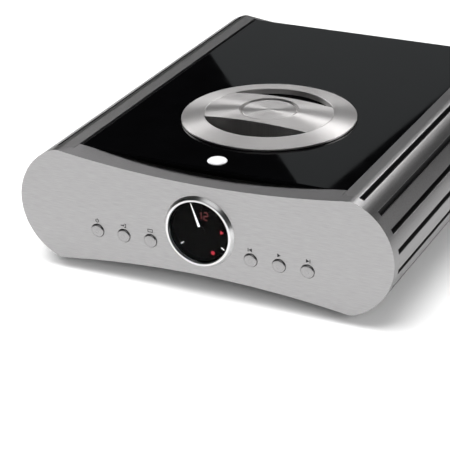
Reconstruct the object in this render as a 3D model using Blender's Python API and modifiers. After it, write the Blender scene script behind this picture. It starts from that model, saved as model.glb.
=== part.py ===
"""Top-loading disc player: a pill-shaped aluminium case with finned sides, a gloss black top,
a domed lift-off disc lid, a round dial with a needle, and six push buttons.

World frame: X across, Y from front to back, Z up. The origin is on the floor, below the
middle of the box around the whole player. Lengths are in metres.
"""
import math

import bmesh
import bpy
from mathutils import Euler, Vector

# ---------------------------------------------------------------- case
WIDTH = 0.325              # across the round ends
WAIST = 0.0389             # half height of the case at its middle
END_RADIUS = 0.0505        # round ends of the outline
SCOOP_RADIUS = 0.894       # hollow top and bottom edges of the outline
CORNER_RADIUS = 0.014      # where a hollow edge turns into a round end
FRONT = -0.1838            # y of the front face
REAR = 0.1765              # y of the rear panel's outer face
MID = 0.0574               # height of the case's middle line above the floor
GAP = 0.0003               # air between pieces that touch

END_THICKNESS = 0.010      # front plate at the round ends
PLATE_THICKNESS = 0.0195   # front plate between the side rails
REAR_THICKNESS = 0.004
RAIL_X = 0.1163            # inner face of the side rails
WALL = 0.012               # thickness of the finned sides
SLOTS_PER_SIDE = 8
SLOT_PITCH = math.radians(19)
SLOT_WIDTH = 0.0042
SLOT_DEPTH = 0.008

# ---------------------------------------------------------------- top
PANEL_HALF = 0.116         # half width of the black top panel
PANEL_TOP = 0.0459         # above the middle line
PANEL_THICKNESS = 0.003
LIP_DEPTH = 0.004          # downturned front and rear edges of the panel
LIP_HEIGHT = 0.011
SHEET_Z = -0.0437          # top of the bottom sheet
SHEET_THICKNESS = 0.002

# ---------------------------------------------------------------- disc lid and drive
LID_Y = 0.1332             # centre of the lid, behind the front face
LID_RADIUS = 0.0731
LID_HOLE = 0.0540          # inside of the lid's ring
LID_CROWN = 0.0544         # top of the dome above the middle line
DOME_RADIUS = 0.415
GRIP_HALF = 0.0285         # half width of the grip bar across the lid
GRIP_BOTTOM = 0.0383
DISH_RADIUS = 0.02466      # round recess in the grip bar
DISH_FLOOR = 0.0490
KNOB_RADIUS = 0.02275
LINER_RADIUS = 0.061
WELL_RADIUS = 0.0630
WELL_FLANGE = 0.069
WELL_HOLE = 0.017          # opening in the well's floor around the platter
WELL_FLOOR = 0.0290        # top of the disc well's floor
PLATTER_TOP = 0.0326
BRIDGE_TOP = 0.0123        # top of the bridge that carries the drive
ROD_Z = 0.0195             # guide rods of the laser sled
ROD_SPREAD = 0.0165
SCREW_SPREAD = 0.0245
LENS_START = 0.024         # lens to spindle with the sled fully in

BOARD_Z = -0.0360          # middle of the three boards
BOARD_THICKNESS = 0.0016
TRANSFORMER = (-0.060, 0.302)

# ---------------------------------------------------------------- front controls
DIAL_Z = -0.0008
BEZEL_RADIUS = 0.0304
BEZEL_LIP = 0.0280
BEZEL_BORE = 0.0263
BEZEL_HEIGHT = 0.0032
DIAL_BORE = 0.0248
NEEDLE_ANGLE = math.radians(-20)
BUTTON_X = (0.0439, 0.0680, 0.0920)
BUTTON_Z = -0.0171
BUTTON_RADIUS = 0.0053
BUTTON_NAMES = {1: ("previous", "play", "next"), -1: ("display", "input", "standby")}
COUNTERBORE = 0.0056
COUNTERBORE_DEPTH = 0.0042
STEM_RADIUS = 0.0022

# ---------------------------------------------------------------- rear
SOCKET_TIP = 0.0105        # how far the sockets stand out of the rear panel
SOCKET_BODY = 0.012        # how far they reach in
INLET = (-0.082, 0.012)    # x and z of the mains inlet
SWITCH = (-0.038, 0.016)
ROCKER_THROW = math.radians(18)
XLR = {"xlr_left": (0.050, 0.016), "xlr_right": (0.088, 0.016)}
RCA = {"rca_left": (0.050, -0.018), "rca_right": (0.074, -0.018),
       "coax_in": (0.012, 0.018), "coax_out": (0.012, -0.004)}
OPTICAL = (0.012, -0.024)

# name: colour, roughness, metallic
MATERIALS = {
    "brushed_aluminium": ((0.56, 0.56, 0.57), 0.34, 1.0),
    "turned_aluminium": ((0.60, 0.58, 0.57), 0.28, 1.0),
    "finned_aluminium": ((0.42, 0.42, 0.42), 0.40, 1.0),
    "gloss_black": ((0.006, 0.006, 0.007), 0.04, 0.0),
    "satin_black": ((0.015, 0.015, 0.016), 0.45, 0.0),
    "dial_glass": ((0.02, 0.02, 0.022), 0.03, 0.0),
    "needle_white": ((0.85, 0.85, 0.85), 0.5, 0.0),
    "badge_silver": ((0.80, 0.80, 0.82), 0.3, 1.0),
    "sheet_steel": ((0.30, 0.30, 0.31), 0.45, 1.0),
    "bright_steel": ((0.62, 0.62, 0.63), 0.22, 1.0),
    "rubber": ((0.02, 0.02, 0.02), 0.8, 0.0),
    "circuit_board": ((0.02, 0.13, 0.05), 0.5, 0.0),
    "motor_can": ((0.50, 0.50, 0.50), 0.35, 1.0),
    "capacitor_sleeve": ((0.03, 0.04, 0.10), 0.35, 0.0),
    "winding_tape": ((0.60, 0.42, 0.10), 0.5, 0.0),
    "gold_plate": ((0.80, 0.55, 0.20), 0.25, 1.0),
    "lens_glass": ((0.10, 0.12, 0.25), 0.05, 0.0),
}

AXES = {"up": (0.0, 0.0, 0.0), "front": (math.pi / 2, 0.0, 0.0), "rear": (-math.pi / 2, 0.0, 0.0),
        "right": (0.0, math.pi / 2, 0.0)}


# ================================================================ helpers
def at(x, y, z):
    """World place from x, the distance behind the front face and the height over the middle line."""
    return Vector((x, FRONT + y, MID + z))


def new_collection(name):
    made = bpy.data.collections.new(name)
    bpy.context.scene.collection.children.link(made)
    return made


def make_materials():
    made = {}
    for name, (colour, roughness, metallic) in MATERIALS.items():
        material = bpy.data.materials.new(name)
        material.use_nodes = True
        shader = material.node_tree.nodes["Principled BSDF"]
        shader.inputs["Base Color"].default_value = (*colour, 1.0)
        shader.inputs["Roughness"].default_value = roughness
        shader.inputs["Metallic"].default_value = metallic
        made[name] = material
    return made


def smooth(mesh):
    mesh.shade_smooth()
    mesh.set_sharp_from_angle(angle=math.radians(35))


def place(name, mesh, place_at, material=None, facing="up"):
    """Link a part, or with no material a cutter, at its place."""
    obj = bpy.data.objects.new(name, mesh)
    obj.location = place_at
    obj.rotation_euler = AXES[facing]
    if material is None:
        cutters.objects.link(obj)
        obj.display_type = "WIRE"
        obj.hide_render = True
    else:
        parts.objects.link(obj)
        mesh.materials.append(materials[material])
    return obj


def box_mesh(name, size):
    mesh = bpy.data.meshes.new(name)
    bm = bmesh.new()
    bmesh.ops.create_cube(bm, size=1.0)
    bmesh.ops.scale(bm, vec=Vector(size), verts=bm.verts)
    bm.to_mesh(mesh)
    bm.free()
    return mesh


def box(name, size, centre, material=None, bevel=0.0):
    obj = place(name, box_mesh(name, size), centre, material)
    if bevel:
        edge = obj.modifiers.new("bevel", "BEVEL")
        edge.width = bevel
        edge.segments = 2
    return obj


def cylinder(name, radius, length, centre, material=None, facing="up", sides=24):
    mesh = bpy.data.meshes.new(name)
    bm = bmesh.new()
    bmesh.ops.create_cone(bm, cap_ends=True, segments=sides, radius1=radius, radius2=radius,
                          depth=length)
    bm.to_mesh(mesh)
    bm.free()
    smooth(mesh)
    return place(name, mesh, centre, material, facing)


def turned(name, profile, centre, material=None, facing="up", steps=32, ring=False):
    """Turn (radius, height) points that run down the outer side; a ring's profile is closed."""
    mesh = bpy.data.meshes.new(name)
    points = [(radius, 0.0, height) for radius, height in profile]
    edges = [(i, i + 1) for i in range(len(points) - 1)]
    if ring:
        edges.append((len(points) - 1, 0))
    mesh.from_pydata(points, edges, [])
    obj = place(name, mesh, centre, material, facing)
    screw = obj.modifiers.new("turn", "SCREW")
    screw.steps = steps
    screw.render_steps = steps
    screw.use_merge_vertices = True
    screw.merge_threshold = 0.00001
    return obj


def plate(name, outline, y_front, y_back, material=None):
    """A flat outline of (x, z) points, extruded from y_front to y_back, as a closed mesh."""
    curve = bpy.data.curves.new(name, "CURVE")
    curve.dimensions = "2D"
    curve.fill_mode = "BOTH"
    curve.extrude = (y_back - y_front) / 2
    spline = curve.splines.new("POLY")
    spline.points.add(len(outline) - 1)
    for point, (x, z) in zip(spline.points, outline):
        point.co = (x, z, 0.0, 1.0)
    spline.use_cyclic_u = True
    guide = bpy.data.objects.new(name + "_outline", curve)
    bpy.context.scene.collection.objects.link(guide)
    mesh = bpy.data.meshes.new_from_object(guide.evaluated_get(bpy.context.evaluated_depsgraph_get()))
    bpy.data.objects.remove(guide)
    bm = bmesh.new()
    bm.from_mesh(mesh)
    bmesh.ops.remove_doubles(bm, verts=bm.verts, dist=0.000001)
    bmesh.ops.recalc_face_normals(bm, faces=bm.faces)
    bm.to_mesh(mesh)
    bm.free()
    smooth(mesh)
    return place(name, mesh, at(0.0, (y_front + y_back) / 2, 0.0), material, "front")


def boolean(obj, other, operation):
    step = obj.modifiers.new(operation.lower(), "BOOLEAN")
    step.object = other
    step.operation = operation
    step.solver = "EXACT"


def cut(obj, *others):
    for other in others:
        boolean(obj, other, "DIFFERENCE")


def add(obj, *others):
    for other in others:
        boolean(obj, other, "UNION")


# ================================================================ case outline
def arc(centre, radius, start, end, count):
    """Points along an arc, from angle start to angle end in radians, both ends included."""
    step = (end - start) / count
    return [(centre[0] + radius * math.cos(start + step * i), centre[1] + radius * math.sin(start + step * i))
            for i in range(count + 1)]


END_X = WIDTH / 2 - END_RADIUS
SCOOP_Z = WAIST + SCOOP_RADIUS


def corner_centre():
    """Centre of the small arc inside the end arc and below the hollow top edge."""
    near = END_RADIUS - CORNER_RADIUS
    far = SCOOP_RADIUS + CORNER_RADIUS
    span = math.hypot(END_X, SCOOP_Z)
    along = (span ** 2 + near ** 2 - far ** 2) / (2 * span)
    aside = math.sqrt(near ** 2 - along ** 2)
    ux, uz = -END_X / span, SCOOP_Z / span
    return END_X + ux * along + uz * aside, uz * along - ux * aside


CORNER = corner_centre()
CORNER_START = math.atan2(CORNER[1], CORNER[0] - END_X)          # where the end arc stops
CORNER_END = math.atan2(SCOOP_Z - CORNER[1], -CORNER[0])         # where the hollow edge starts
SCOOP_ANGLE = math.atan2(CORNER[1] - SCOOP_Z, CORNER[0])         # the same place, seen from the hollow


def top_edge(x):
    """Height of the hollow top edge over the middle line."""
    return SCOOP_Z - math.sqrt(SCOOP_RADIUS ** 2 - x ** 2)


def top_outline(x_from, count):
    """The hollow top edge from x_from to the right, and the corner after it."""
    start = math.asin(x_from / SCOOP_RADIUS) - math.pi / 2
    hollow = arc((0.0, SCOOP_Z), SCOOP_RADIUS, start, SCOOP_ANGLE, count)
    return hollow + arc(CORNER, CORNER_RADIUS, CORNER_END, CORNER_START, 5)[1:]


def case_outline():
    quarter = top_outline(0.0, 10) + arc((END_X, 0.0), END_RADIUS, CORNER_START, 0.0, 12)[1:]
    right = quarter + [(x, -z) for x, z in reversed(quarter[:-1])]
    return right + [(-x, z) for x, z in reversed(right[1:-1])]


def side_outline():
    """Section of the right finned side: the case outline with slots, and a hollow behind it."""
    half_slot = SLOT_WIDTH / 2
    half_angle = math.asin(half_slot / END_RADIUS)
    reach = math.sqrt(END_RADIUS ** 2 - half_slot ** 2)
    outer = []
    for i in range(SLOTS_PER_SIDE):
        middle = SLOT_PITCH * ((SLOTS_PER_SIDE - 1) / 2 - i)
        nx, nz = math.cos(middle), math.sin(middle)
        for side in (1, -1):
            lip = (END_X + nx * reach - nz * half_slot * side, nz * reach + nx * half_slot * side)
            floor = (lip[0] - nx * SLOT_DEPTH, lip[1] - nz * SLOT_DEPTH)
            outer += [lip, floor] if side == 1 else [floor, lip]
        if i < SLOTS_PER_SIDE - 1:
            outer += arc((END_X, 0.0), END_RADIUS, middle - half_angle, middle - SLOT_PITCH + half_angle,
                         3)[1:-1]
    upper = [point for point in top_outline(RAIL_X, 2) if point[0] < outer[0][0] - 2 * GAP]
    roof = math.radians(75)
    inner = arc((END_X, 0.0), END_RADIUS - WALL, -roof, roof, 8)
    lower = [(x, -z) for x, z in reversed(upper)]
    return upper + outer + lower + [(RAIL_X, inner[0][1])] + inner + [(RAIL_X, inner[-1][1])]


# ================================================================ case
def make_front_plate():
    front = plate("front_plate", case_outline(), 0.0, PLATE_THICKNESS, "brushed_aluminium")
    side_cut = 0.06
    for side in (1, -1):
        cut(front, box("end_step", (side_cut, 0.02, 0.12),
                       at(side * (RAIL_X - GAP + side_cut / 2), END_THICKNESS + 0.01, 0.0)))
        for x in BUTTON_X:
            cut(front, cylinder("stem_bore", STEM_RADIUS + 0.0005, 0.05, at(side * x, 0.01, BUTTON_Z),
                                facing="front", sides=16))
            cut(front, cylinder("button_bore", COUNTERBORE, 2 * COUNTERBORE_DEPTH,
                                at(side * x, 0.0, BUTTON_Z), facing="front"))
    cut(front, cylinder("dial_bore", DIAL_BORE, 0.06, at(0.0, 0.01, DIAL_Z), facing="front", sides=40))


def make_sides():
    back = REAR - FRONT - REAR_THICKNESS - GAP
    section = side_outline()
    for side, name in ((1, "heatsink_right"), (-1, "heatsink_left")):
        outline = [(side * x, z) for x, z in section]
        plate(name, outline, END_THICKNESS + GAP, back, "finned_aluminium")


def make_top_panel():
    front, back = PLATE_THICKNESS + GAP, REAR - FRONT - REAR_THICKNESS - GAP
    width = 2 * PANEL_HALF - 2 * GAP
    panel = box("top_panel", (width, back - front, PANEL_THICKNESS),
                at(0.0, (front + back) / 2, PANEL_TOP - PANEL_THICKNESS / 2), "gloss_black")
    for y in (front + LIP_DEPTH / 2 + GAP, back - LIP_DEPTH / 2 - GAP):
        add(panel, box("panel_lip", (width - 2 * LIP_DEPTH, LIP_DEPTH, LIP_HEIGHT),
                       at(0.0, y, PANEL_TOP - PANEL_THICKNESS / 2 - LIP_HEIGHT / 2)))
    cut(panel, cylinder("lid_opening", WELL_RADIUS, 0.02, at(0.0, LID_Y, PANEL_TOP), sides=48))
    turned("badge", [(0.0, 0.0009), (0.0072, 0.0009), (0.0080, 0.0), (0.0, 0.0)],
           at(0.0, 0.0345, PANEL_TOP + GAP), "badge_silver", steps=28)


def make_bottom_and_rear():
    front, back = PLATE_THICKNESS + GAP, REAR - FRONT - REAR_THICKNESS - GAP
    width = 2 * PANEL_HALF - 2 * GAP
    sheet = box("bottom_sheet", (width, back - front, SHEET_THICKNESS),
                at(0.0, (front + back) / 2, SHEET_Z - SHEET_THICKNESS / 2), "sheet_steel")
    for y in (front + SHEET_THICKNESS / 2 + GAP, back - SHEET_THICKNESS / 2 - GAP):
        add(sheet, box("sheet_lip", (width - 2 * LIP_DEPTH, SHEET_THICKNESS, LIP_HEIGHT),
                       at(0.0, y, SHEET_Z - SHEET_THICKNESS / 2 + LIP_HEIGHT / 2)))
    rear_front = REAR - FRONT - REAR_THICKNESS
    rear = plate("rear_panel", case_outline(), rear_front, REAR - FRONT, "finned_aluminium")
    middle = rear_front + REAR_THICKNESS / 2
    for x, z in XLR.values():
        cut(rear, cylinder("xlr_hole", 0.0118, 0.02, at(x, middle, z), facing="rear", sides=28))
    for x, z in RCA.values():
        cut(rear, cylinder("rca_hole", 0.0053, 0.02, at(x, middle, z), facing="rear", sides=16))
    cut(rear, box("optical_hole", (0.0106, 0.02, 0.0106), at(OPTICAL[0], middle, OPTICAL[1])))
    cut(rear, box("inlet_hole", (0.0286, 0.02, 0.0386), at(INLET[0], middle, INLET[1])))
    cut(rear, box("switch_hole", (0.0136, 0.02, 0.0226), at(SWITCH[0], middle, SWITCH[1])))


def make_feet():
    height = MID + SHEET_Z - SHEET_THICKNESS - GAP
    profile = [(0.0, height), (0.016, height), (0.019, 0.003), (0.018, 0.0), (0.0, 0.0)]
    for x, side in ((-0.088, "left"), (0.088, "right")):
        for y, end in ((0.045, "front"), (0.315, "rear")):
            turned(f"foot_{end}_{side}", profile, Vector((x, FRONT + y, 0.0)), "rubber", steps=24)


# ================================================================ dial and buttons
def make_dial():
    centre = at(0.0, 0.0, DIAL_Z)
    turned("dial_bezel", [(BEZEL_LIP, BEZEL_HEIGHT), (BEZEL_RADIUS, GAP), (BEZEL_BORE, GAP),
                          (BEZEL_BORE, BEZEL_HEIGHT)],
           centre, "turned_aluminium", "front", steps=48, ring=True)
    cylinder("dial_window", BEZEL_BORE - GAP, 0.0012, at(0.0, -GAP - 0.0006, DIAL_Z), "dial_glass",
             "front", sides=48)
    dial = cylinder("dial_face", DIAL_BORE - GAP, 0.001, at(0.0, 0.0045, DIAL_Z), "satin_black",
                    "front", sides=40)
    cut(dial, cylinder("needle_hole", 0.0012, 0.01, at(0.0, 0.0045, DIAL_Z), facing="front", sides=12))
    motor_front, motor_back = 0.0053, 0.0205
    cylinder("needle_motor", 0.009, motor_back - motor_front,
             at(0.0, (motor_front + motor_back) / 2, DIAL_Z), "motor_can", "front")
    box("dial_board", (0.060, 0.0016, 0.056), at(0.0, 0.0216, DIAL_Z), "circuit_board")


def make_needle():
    """White pointer on a black hub; its object's origin is on the needle's axis."""
    hub = turned("needle", [(0.0, -0.0012), (0.0038, -0.0016), (0.0038, -0.0026), (0.0008, -0.0026),
                            (0.0008, -0.0050), (0.0, -0.0050)],
                 at(0.0, 0.0, DIAL_Z), "needle_white", "front", steps=16)
    length = 0.0241
    mesh = bpy.data.meshes.new("pointer")
    bm = bmesh.new()
    bmesh.ops.create_cone(bm, cap_ends=True, segments=4, radius1=0.0011, radius2=0.0003, depth=length)
    bmesh.ops.scale(bm, vec=Vector((1.0, 0.55, 1.0)), verts=bm.verts)
    bmesh.ops.translate(bm, vec=Vector((0.0, 0.0, length / 2)), verts=bm.verts)
    bm.to_mesh(mesh)
    bm.free()
    pointer = place("pointer", mesh, at(0.0, 0.0020, DIAL_Z))
    pointer.rotation_euler = (0.0, NEEDLE_ANGLE, 0.0)
    add(hub, pointer)


def make_buttons():
    head_top, head_back = 0.0024, -0.0022
    tip = -(PLATE_THICKNESS + 0.0005)
    profile = [(0.0, head_top), (BUTTON_RADIUS - 0.0012, head_top - 0.0002),
               (BUTTON_RADIUS, head_top - 0.0010), (BUTTON_RADIUS, head_back),
               (STEM_RADIUS, head_back), (STEM_RADIUS, tip), (0.0, tip)]
    board_front, switch_front = 0.0252, 0.0216
    for side, names in BUTTON_NAMES.items():
        hand = "right" if side == 1 else "left"
        for x, word in zip(BUTTON_X, names):
            turned(f"button_{word}", profile, at(side * x, 0.0, BUTTON_Z), "turned_aluminium",
                   "front", steps=24)
        board = box(f"button_board_{hand}", (0.070, 0.0016, 0.018),
                    at(side * BUTTON_X[1], board_front + 0.0008, BUTTON_Z), "circuit_board")
        for x in BUTTON_X:
            depth = board_front - switch_front + 0.0005
            add(board, box("switch_can", (0.006, depth, 0.006),
                           at(side * x, switch_front + depth / 2, BUTTON_Z)))


# ================================================================ disc lid
def dome(radius):
    """Height over the middle line of the lid's domed top at a radius."""
    return LID_CROWN - DOME_RADIUS + math.sqrt(DOME_RADIUS ** 2 - radius ** 2)


def dome_profile(inner, outer, count):
    step = (outer - inner) / count
    return [(inner + step * i, dome(inner + step * i)) for i in range(count + 1)]


def make_lid():
    centre = at(0.0, LID_Y, 0.0)
    base = PANEL_TOP + GAP
    edge = LID_RADIUS - 0.0006
    ring = dome_profile(LID_HOLE, edge, 4)
    ring += [(LID_RADIUS, dome(edge) - 0.0006), (LID_RADIUS - 0.0004, base), (LID_HOLE, base)]
    turned("lid_ring", ring, centre, "turned_aluminium", steps=64, ring=True)
    grip_radius = LID_HOLE - GAP
    below = [(grip_radius, GRIP_BOTTOM), (0.0, GRIP_BOTTOM)]
    grip = turned("lid_grip", dome_profile(0.0, grip_radius, 5) + below, centre, "turned_aluminium", steps=64)
    for side in (1, -1):
        cut(grip, box("finger_cut", (0.13, 0.04, 0.05),
                      at(0.0, LID_Y + side * (GRIP_HALF + 0.02), LID_CROWN - 0.01)))
    cut(grip, cylinder("dish_cut", DISH_RADIUS, 0.02, at(0.0, LID_Y, DISH_FLOOR + 0.01), sides=40))
    knob_top = 0.05305
    turned("lid_knob", [(0.0, knob_top), (KNOB_RADIUS * 0.6, knob_top - 0.0001),
                        (KNOB_RADIUS - 0.0004, knob_top - 0.0003), (KNOB_RADIUS, knob_top - 0.0007),
                        (KNOB_RADIUS, DISH_FLOOR + GAP), (0.0, DISH_FLOOR + GAP)],
           centre, "turned_aluminium", steps=40)
    floor_top, floor_bottom = GRIP_BOTTOM - GAP, GRIP_BOTTOM - GAP - 0.0015
    rim = PANEL_TOP
    inside = LINER_RADIUS - 0.0015
    turned("lid_liner", [(LINER_RADIUS, rim), (LINER_RADIUS, floor_bottom), (0.0032, floor_bottom),
                         (0.0032, floor_top), (inside, floor_top), (inside, rim)],
           centre, "satin_black", steps=48, ring=True)
    puck_top, puck_bottom = floor_bottom - GAP, PLATTER_TOP + 0.0015
    turned("clamp_puck", [(0.0, puck_top + 0.0014), (0.0026, puck_top + 0.0014), (0.0026, puck_top),
                          (0.014, puck_top), (0.014, puck_bottom), (0.0, puck_bottom)],
           centre, "satin_black", steps=28)


# ================================================================ disc drive
def make_well():
    rim = PANEL_TOP - PANEL_THICKNESS - GAP
    under = WELL_FLOOR - 0.0015
    outside = WELL_RADIUS + 0.0015
    well = turned("disc_well", [(WELL_RADIUS, rim), (WELL_FLANGE, rim), (WELL_FLANGE, rim - 0.0015),
                                (outside, rim - 0.0015), (outside, under), (WELL_HOLE, under),
                                (WELL_HOLE, WELL_FLOOR), (WELL_RADIUS, WELL_FLOOR)],
                  at(0.0, LID_Y, 0.0), "satin_black", steps=48, ring=True)
    cut(well, box("lens_slot", (0.050, 0.020, 0.01), at(0.0365, LID_Y, WELL_FLOOR)))


def make_spindle():
    centre = at(0.0, LID_Y, 0.0)
    hub = PLATTER_TOP + 0.0011
    under = PLATTER_TOP - 0.0018
    motor_top, motor_bottom, motor_radius = 0.0237, BRIDGE_TOP + GAP, 0.0115
    shaft = motor_top + GAP
    turned("spindle_platter", [(0.0, hub), (0.0064, hub), (0.0073, PLATTER_TOP), (0.015, PLATTER_TOP),
                               (0.015, under), (0.0015, under), (0.0015, shaft), (0.0, shaft)],
           centre, "satin_black", steps=32)
    turned("spindle_motor", [(0.0, motor_top), (motor_radius - 0.0005, motor_top),
                             (motor_radius, motor_top - 0.0005), (motor_radius, motor_bottom),
                             (0.0, motor_bottom)],
           centre, "motor_can", steps=28)


def make_sled():
    """Laser sled on two rods, driven by a lead screw; all three lie along X."""
    sled = box("laser_sled", (0.018, 0.041, 0.008), at(LENS_START, LID_Y, ROD_Z), "satin_black")
    add(sled, box("nut_arm", (0.010, 0.012, 0.006), at(LENS_START, LID_Y + SCREW_SPREAD - 0.001, ROD_Z)))
    for side in (1, -1):
        cut(sled, cylinder("rod_bore", 0.0018, 0.04, at(LENS_START, LID_Y + side * ROD_SPREAD, ROD_Z),
                           facing="right", sides=16))
    cut(sled, cylinder("screw_bore", 0.0020, 0.04, at(LENS_START, LID_Y + SCREW_SPREAD, ROD_Z),
                       facing="right", sides=16))
    lens_base = ROD_Z + 0.004 + GAP
    turned("laser_lens", [(0.0, 0.0305), (0.0018, 0.0300), (0.0026, 0.0290), (0.0040, 0.0290),
                          (0.0040, lens_base), (0.0, lens_base)],
           at(LENS_START, LID_Y, 0.0), "lens_glass", steps=20)
    rod_start, rod_end = -0.003, 0.078
    length = rod_end - rod_start
    for side, end in ((1, "rear"), (-1, "front")):
        cylinder(f"guide_rod_{end}", 0.0015, length,
                 at((rod_start + rod_end) / 2, LID_Y + side * ROD_SPREAD, ROD_Z),
                 "bright_steel", "right", sides=16)
    make_lead_screw(rod_start, length)
    motor_length = 0.020
    cylinder("sled_motor", 0.0065, motor_length,
             at(rod_start - GAP - motor_length / 2, LID_Y + SCREW_SPREAD, ROD_Z),
             "motor_can", "right", sides=20)


def make_lead_screw(start, length):
    """A rod with one wide thread, cut as a four-lobed section that twists along its length."""
    turns, rings, lobes = 4, 33, 8
    mesh = bpy.data.meshes.new("lead_screw")
    bm = bmesh.new()
    rows = []
    for i in range(rings):
        along = i / (rings - 1)
        row = []
        for k in range(lobes):
            angle = 2 * math.pi * (k / lobes + turns * along / 8)
            radius = 0.0014 if k % 2 else 0.0011
            row.append(bm.verts.new((radius * math.cos(angle), radius * math.sin(angle), length * along)))
        rows.append(row)
    for low, high in zip(rows, rows[1:]):
        for k in range(lobes):
            bm.faces.new((low[k], low[(k + 1) % lobes], high[(k + 1) % lobes], high[k]))
    bm.faces.new(list(reversed(rows[0])))
    bm.faces.new(rows[-1])
    bm.to_mesh(mesh)
    bm.free()
    place("lead_screw", mesh, at(start, LID_Y + SCREW_SPREAD, ROD_Z), "bright_steel", "right")


def make_drive_bridge():
    """Steel bridge that carries the motors and rods over the power supply."""
    top, sheet = BRIDGE_TOP, SHEET_THICKNESS
    half, depth = 0.098, 0.110
    bridge = box("drive_bridge", (2 * half, depth, sheet), at(0.0, LID_Y, top - sheet / 2), "sheet_steel")
    bottom = SHEET_Z + GAP
    height = top - bottom - 0.0005
    for side in (1, -1):
        add(bridge, box("bridge_leg", (sheet, depth - 0.02, height),
                        at(side * (half - sheet / 2 - 0.0002), LID_Y, bottom + height / 2)))
        for x in (0.002, 0.073):
            block = box("rod_block", (0.006, 0.008, 0.0125),
                        at(x, LID_Y + side * ROD_SPREAD, top + 0.0050))
            cut(block, cylinder("rod_seat", 0.0018, 0.03, at(x, LID_Y + side * ROD_SPREAD, ROD_Z),
                                facing="right", sides=16))
            add(bridge, block)


# ================================================================ electronics
def make_boards():
    for name, size, centre in (("servo_board", (0.120, 0.080), (0.035, 0.100)),
                               ("power_board", (0.080, 0.074), (-0.062, 0.219)),
                               ("audio_board", (0.118, 0.130), (0.048, 0.280))):
        box(name, (*size, BOARD_THICKNESS), at(*centre, BOARD_Z), "circuit_board")
    foot = BOARD_Z + BOARD_THICKNESS / 2 + GAP
    number = 0
    for x in (-0.084, -0.044):
        for y in (0.200, 0.236):
            number += 1
            turned(f"capacitor_{number}", [(0.0, 0.035), (0.0105, 0.035), (0.0115, 0.034), (0.0115, 0.0),
                                           (0.0, 0.0)],
                   at(x, y, foot), "capacitor_sleeve", steps=20)
    coil_bottom, coil_top = SHEET_Z + GAP, -0.0105
    turned("toroid_transformer", [(0.012, coil_top - 0.003), (0.016, coil_top), (0.038, coil_top),
                                  (0.043, coil_top - 0.005), (0.043, coil_bottom + 0.005),
                                  (0.038, coil_bottom), (0.016, coil_bottom), (0.012, coil_bottom + 0.003)],
           at(*TRANSFORMER, 0.0), "winding_tape", steps=32, ring=True)
    washer = coil_top + 0.0018
    turned("transformer_clamp", [(0.0, coil_top + 0.003), (0.003, coil_top + 0.003), (0.003, washer),
                                 (0.020, washer), (0.020, coil_top + GAP), (0.003, coil_top + GAP),
                                 (0.003, coil_bottom), (0.0, coil_bottom)],
           at(*TRANSFORMER, 0.0), "bright_steel", steps=20)


# ================================================================ rear sockets
def make_sockets():
    rear = REAR - FRONT
    inside = -REAR_THICKNESS - SOCKET_BODY
    xlr = [(0.0095, 0.0018), (0.0135, 0.0018), (0.0135, GAP), (0.0115, GAP), (0.0115, inside), (0.0, inside),
           (0.0, inside + 0.002), (0.0095, inside + 0.002)]
    for name, (x, z) in XLR.items():
        turned(name, xlr, at(x, rear, z), "satin_black", "rear", steps=28, ring=True)
    rca = [(0.0020, SOCKET_TIP), (0.0042, SOCKET_TIP), (0.0042, 0.0016), (0.0065, 0.0016), (0.0065, GAP),
           (0.0050, GAP), (0.0050, inside), (0.0, inside), (0.0, 0.0016), (0.0020, 0.0016)]
    for name, (x, z) in RCA.items():
        turned(name, rca, at(x, rear, z), "gold_plate", "rear", steps=20, ring=True)
    flange = 0.0015
    x, z = OPTICAL
    optical = box("optical_in", (0.014, flange, 0.014), at(x, rear + GAP + flange / 2, z), "satin_black")
    add(optical, box("optical_body", (0.010, 0.014, 0.010), at(x, rear - 0.0058, z)))
    cut(optical, box("optical_mouth", (0.0064, 0.020, 0.0064), at(x, rear + 0.001, z)))


def make_mains():
    """Mains inlet with its fuse drawer below it, and the power rocker in its frame."""
    rear = REAR - FRONT
    flange = 0.0020
    x, z = INLET
    inlet = box("mains_inlet", (0.034, flange, 0.046), at(x, rear + GAP + flange / 2, z), "satin_black")
    add(inlet, box("inlet_body", (0.028, 0.028, 0.038), at(x, rear - 0.0125, z)))
    cut(inlet, box("inlet_mouth", (0.0246, 0.030, 0.0166), at(x, rear - 0.0010, z + 0.0065)))
    drawer_z = z - 0.0110
    cut(inlet, box("drawer_bay", (0.0226, 0.030, 0.0086), at(x, rear - 0.0060, drawer_z)))
    box("fuse_drawer", (0.0218, 0.0200, 0.0078), at(x, rear - 0.0068, drawer_z), "satin_black", bevel=0.0004)
    x, z = SWITCH
    frame = box("switch_frame", (0.017, flange, 0.027), at(x, rear + GAP + flange / 2, z), "satin_black")
    add(frame, box("switch_body", (0.013, 0.020, 0.022), at(x, rear - 0.0085, z)))
    cut(frame, box("switch_mouth", (0.0106, 0.026, 0.0196), at(x, rear + 0.0005, z)))
    pivot = at(x, rear - GAP, z)
    rocker = cylinder("power_rocker", 0.0090, 0.0098, pivot, "satin_black", "right", sides=28)
    for side, tilt in ((1, -ROCKER_THROW), (-1, 0.0)):
        face = box("rocker_face", (0.03, 0.02, 0.03), pivot)
        turn = Euler((tilt, 0.0, 0.0))
        inward = Vector((0.0, 0.010, side * 0.015))
        inward.rotate(turn)
        face.location += Vector((0.0, 0.0026, 0.0)) + inward
        face.rotation_euler = turn
        cut(rocker, face)


# ================================================================ build
for leftover in list(bpy.data.objects):
    bpy.data.objects.remove(leftover)
parts = new_collection("disc_player")
cutters = new_collection("cutters")
materials = make_materials()
make_front_plate()
make_sides()
make_top_panel()
make_bottom_and_rear()
make_feet()
make_dial()
make_needle()
make_buttons()
make_lid()
make_well()
make_spindle()
make_sled()
make_drive_bridge()
make_boards()
make_sockets()
make_mains()
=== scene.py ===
"""Looks of the top-loading disc player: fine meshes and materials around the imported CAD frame."""
import math

import bmesh
import bpy
from mathutils import Matrix, Vector


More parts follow.
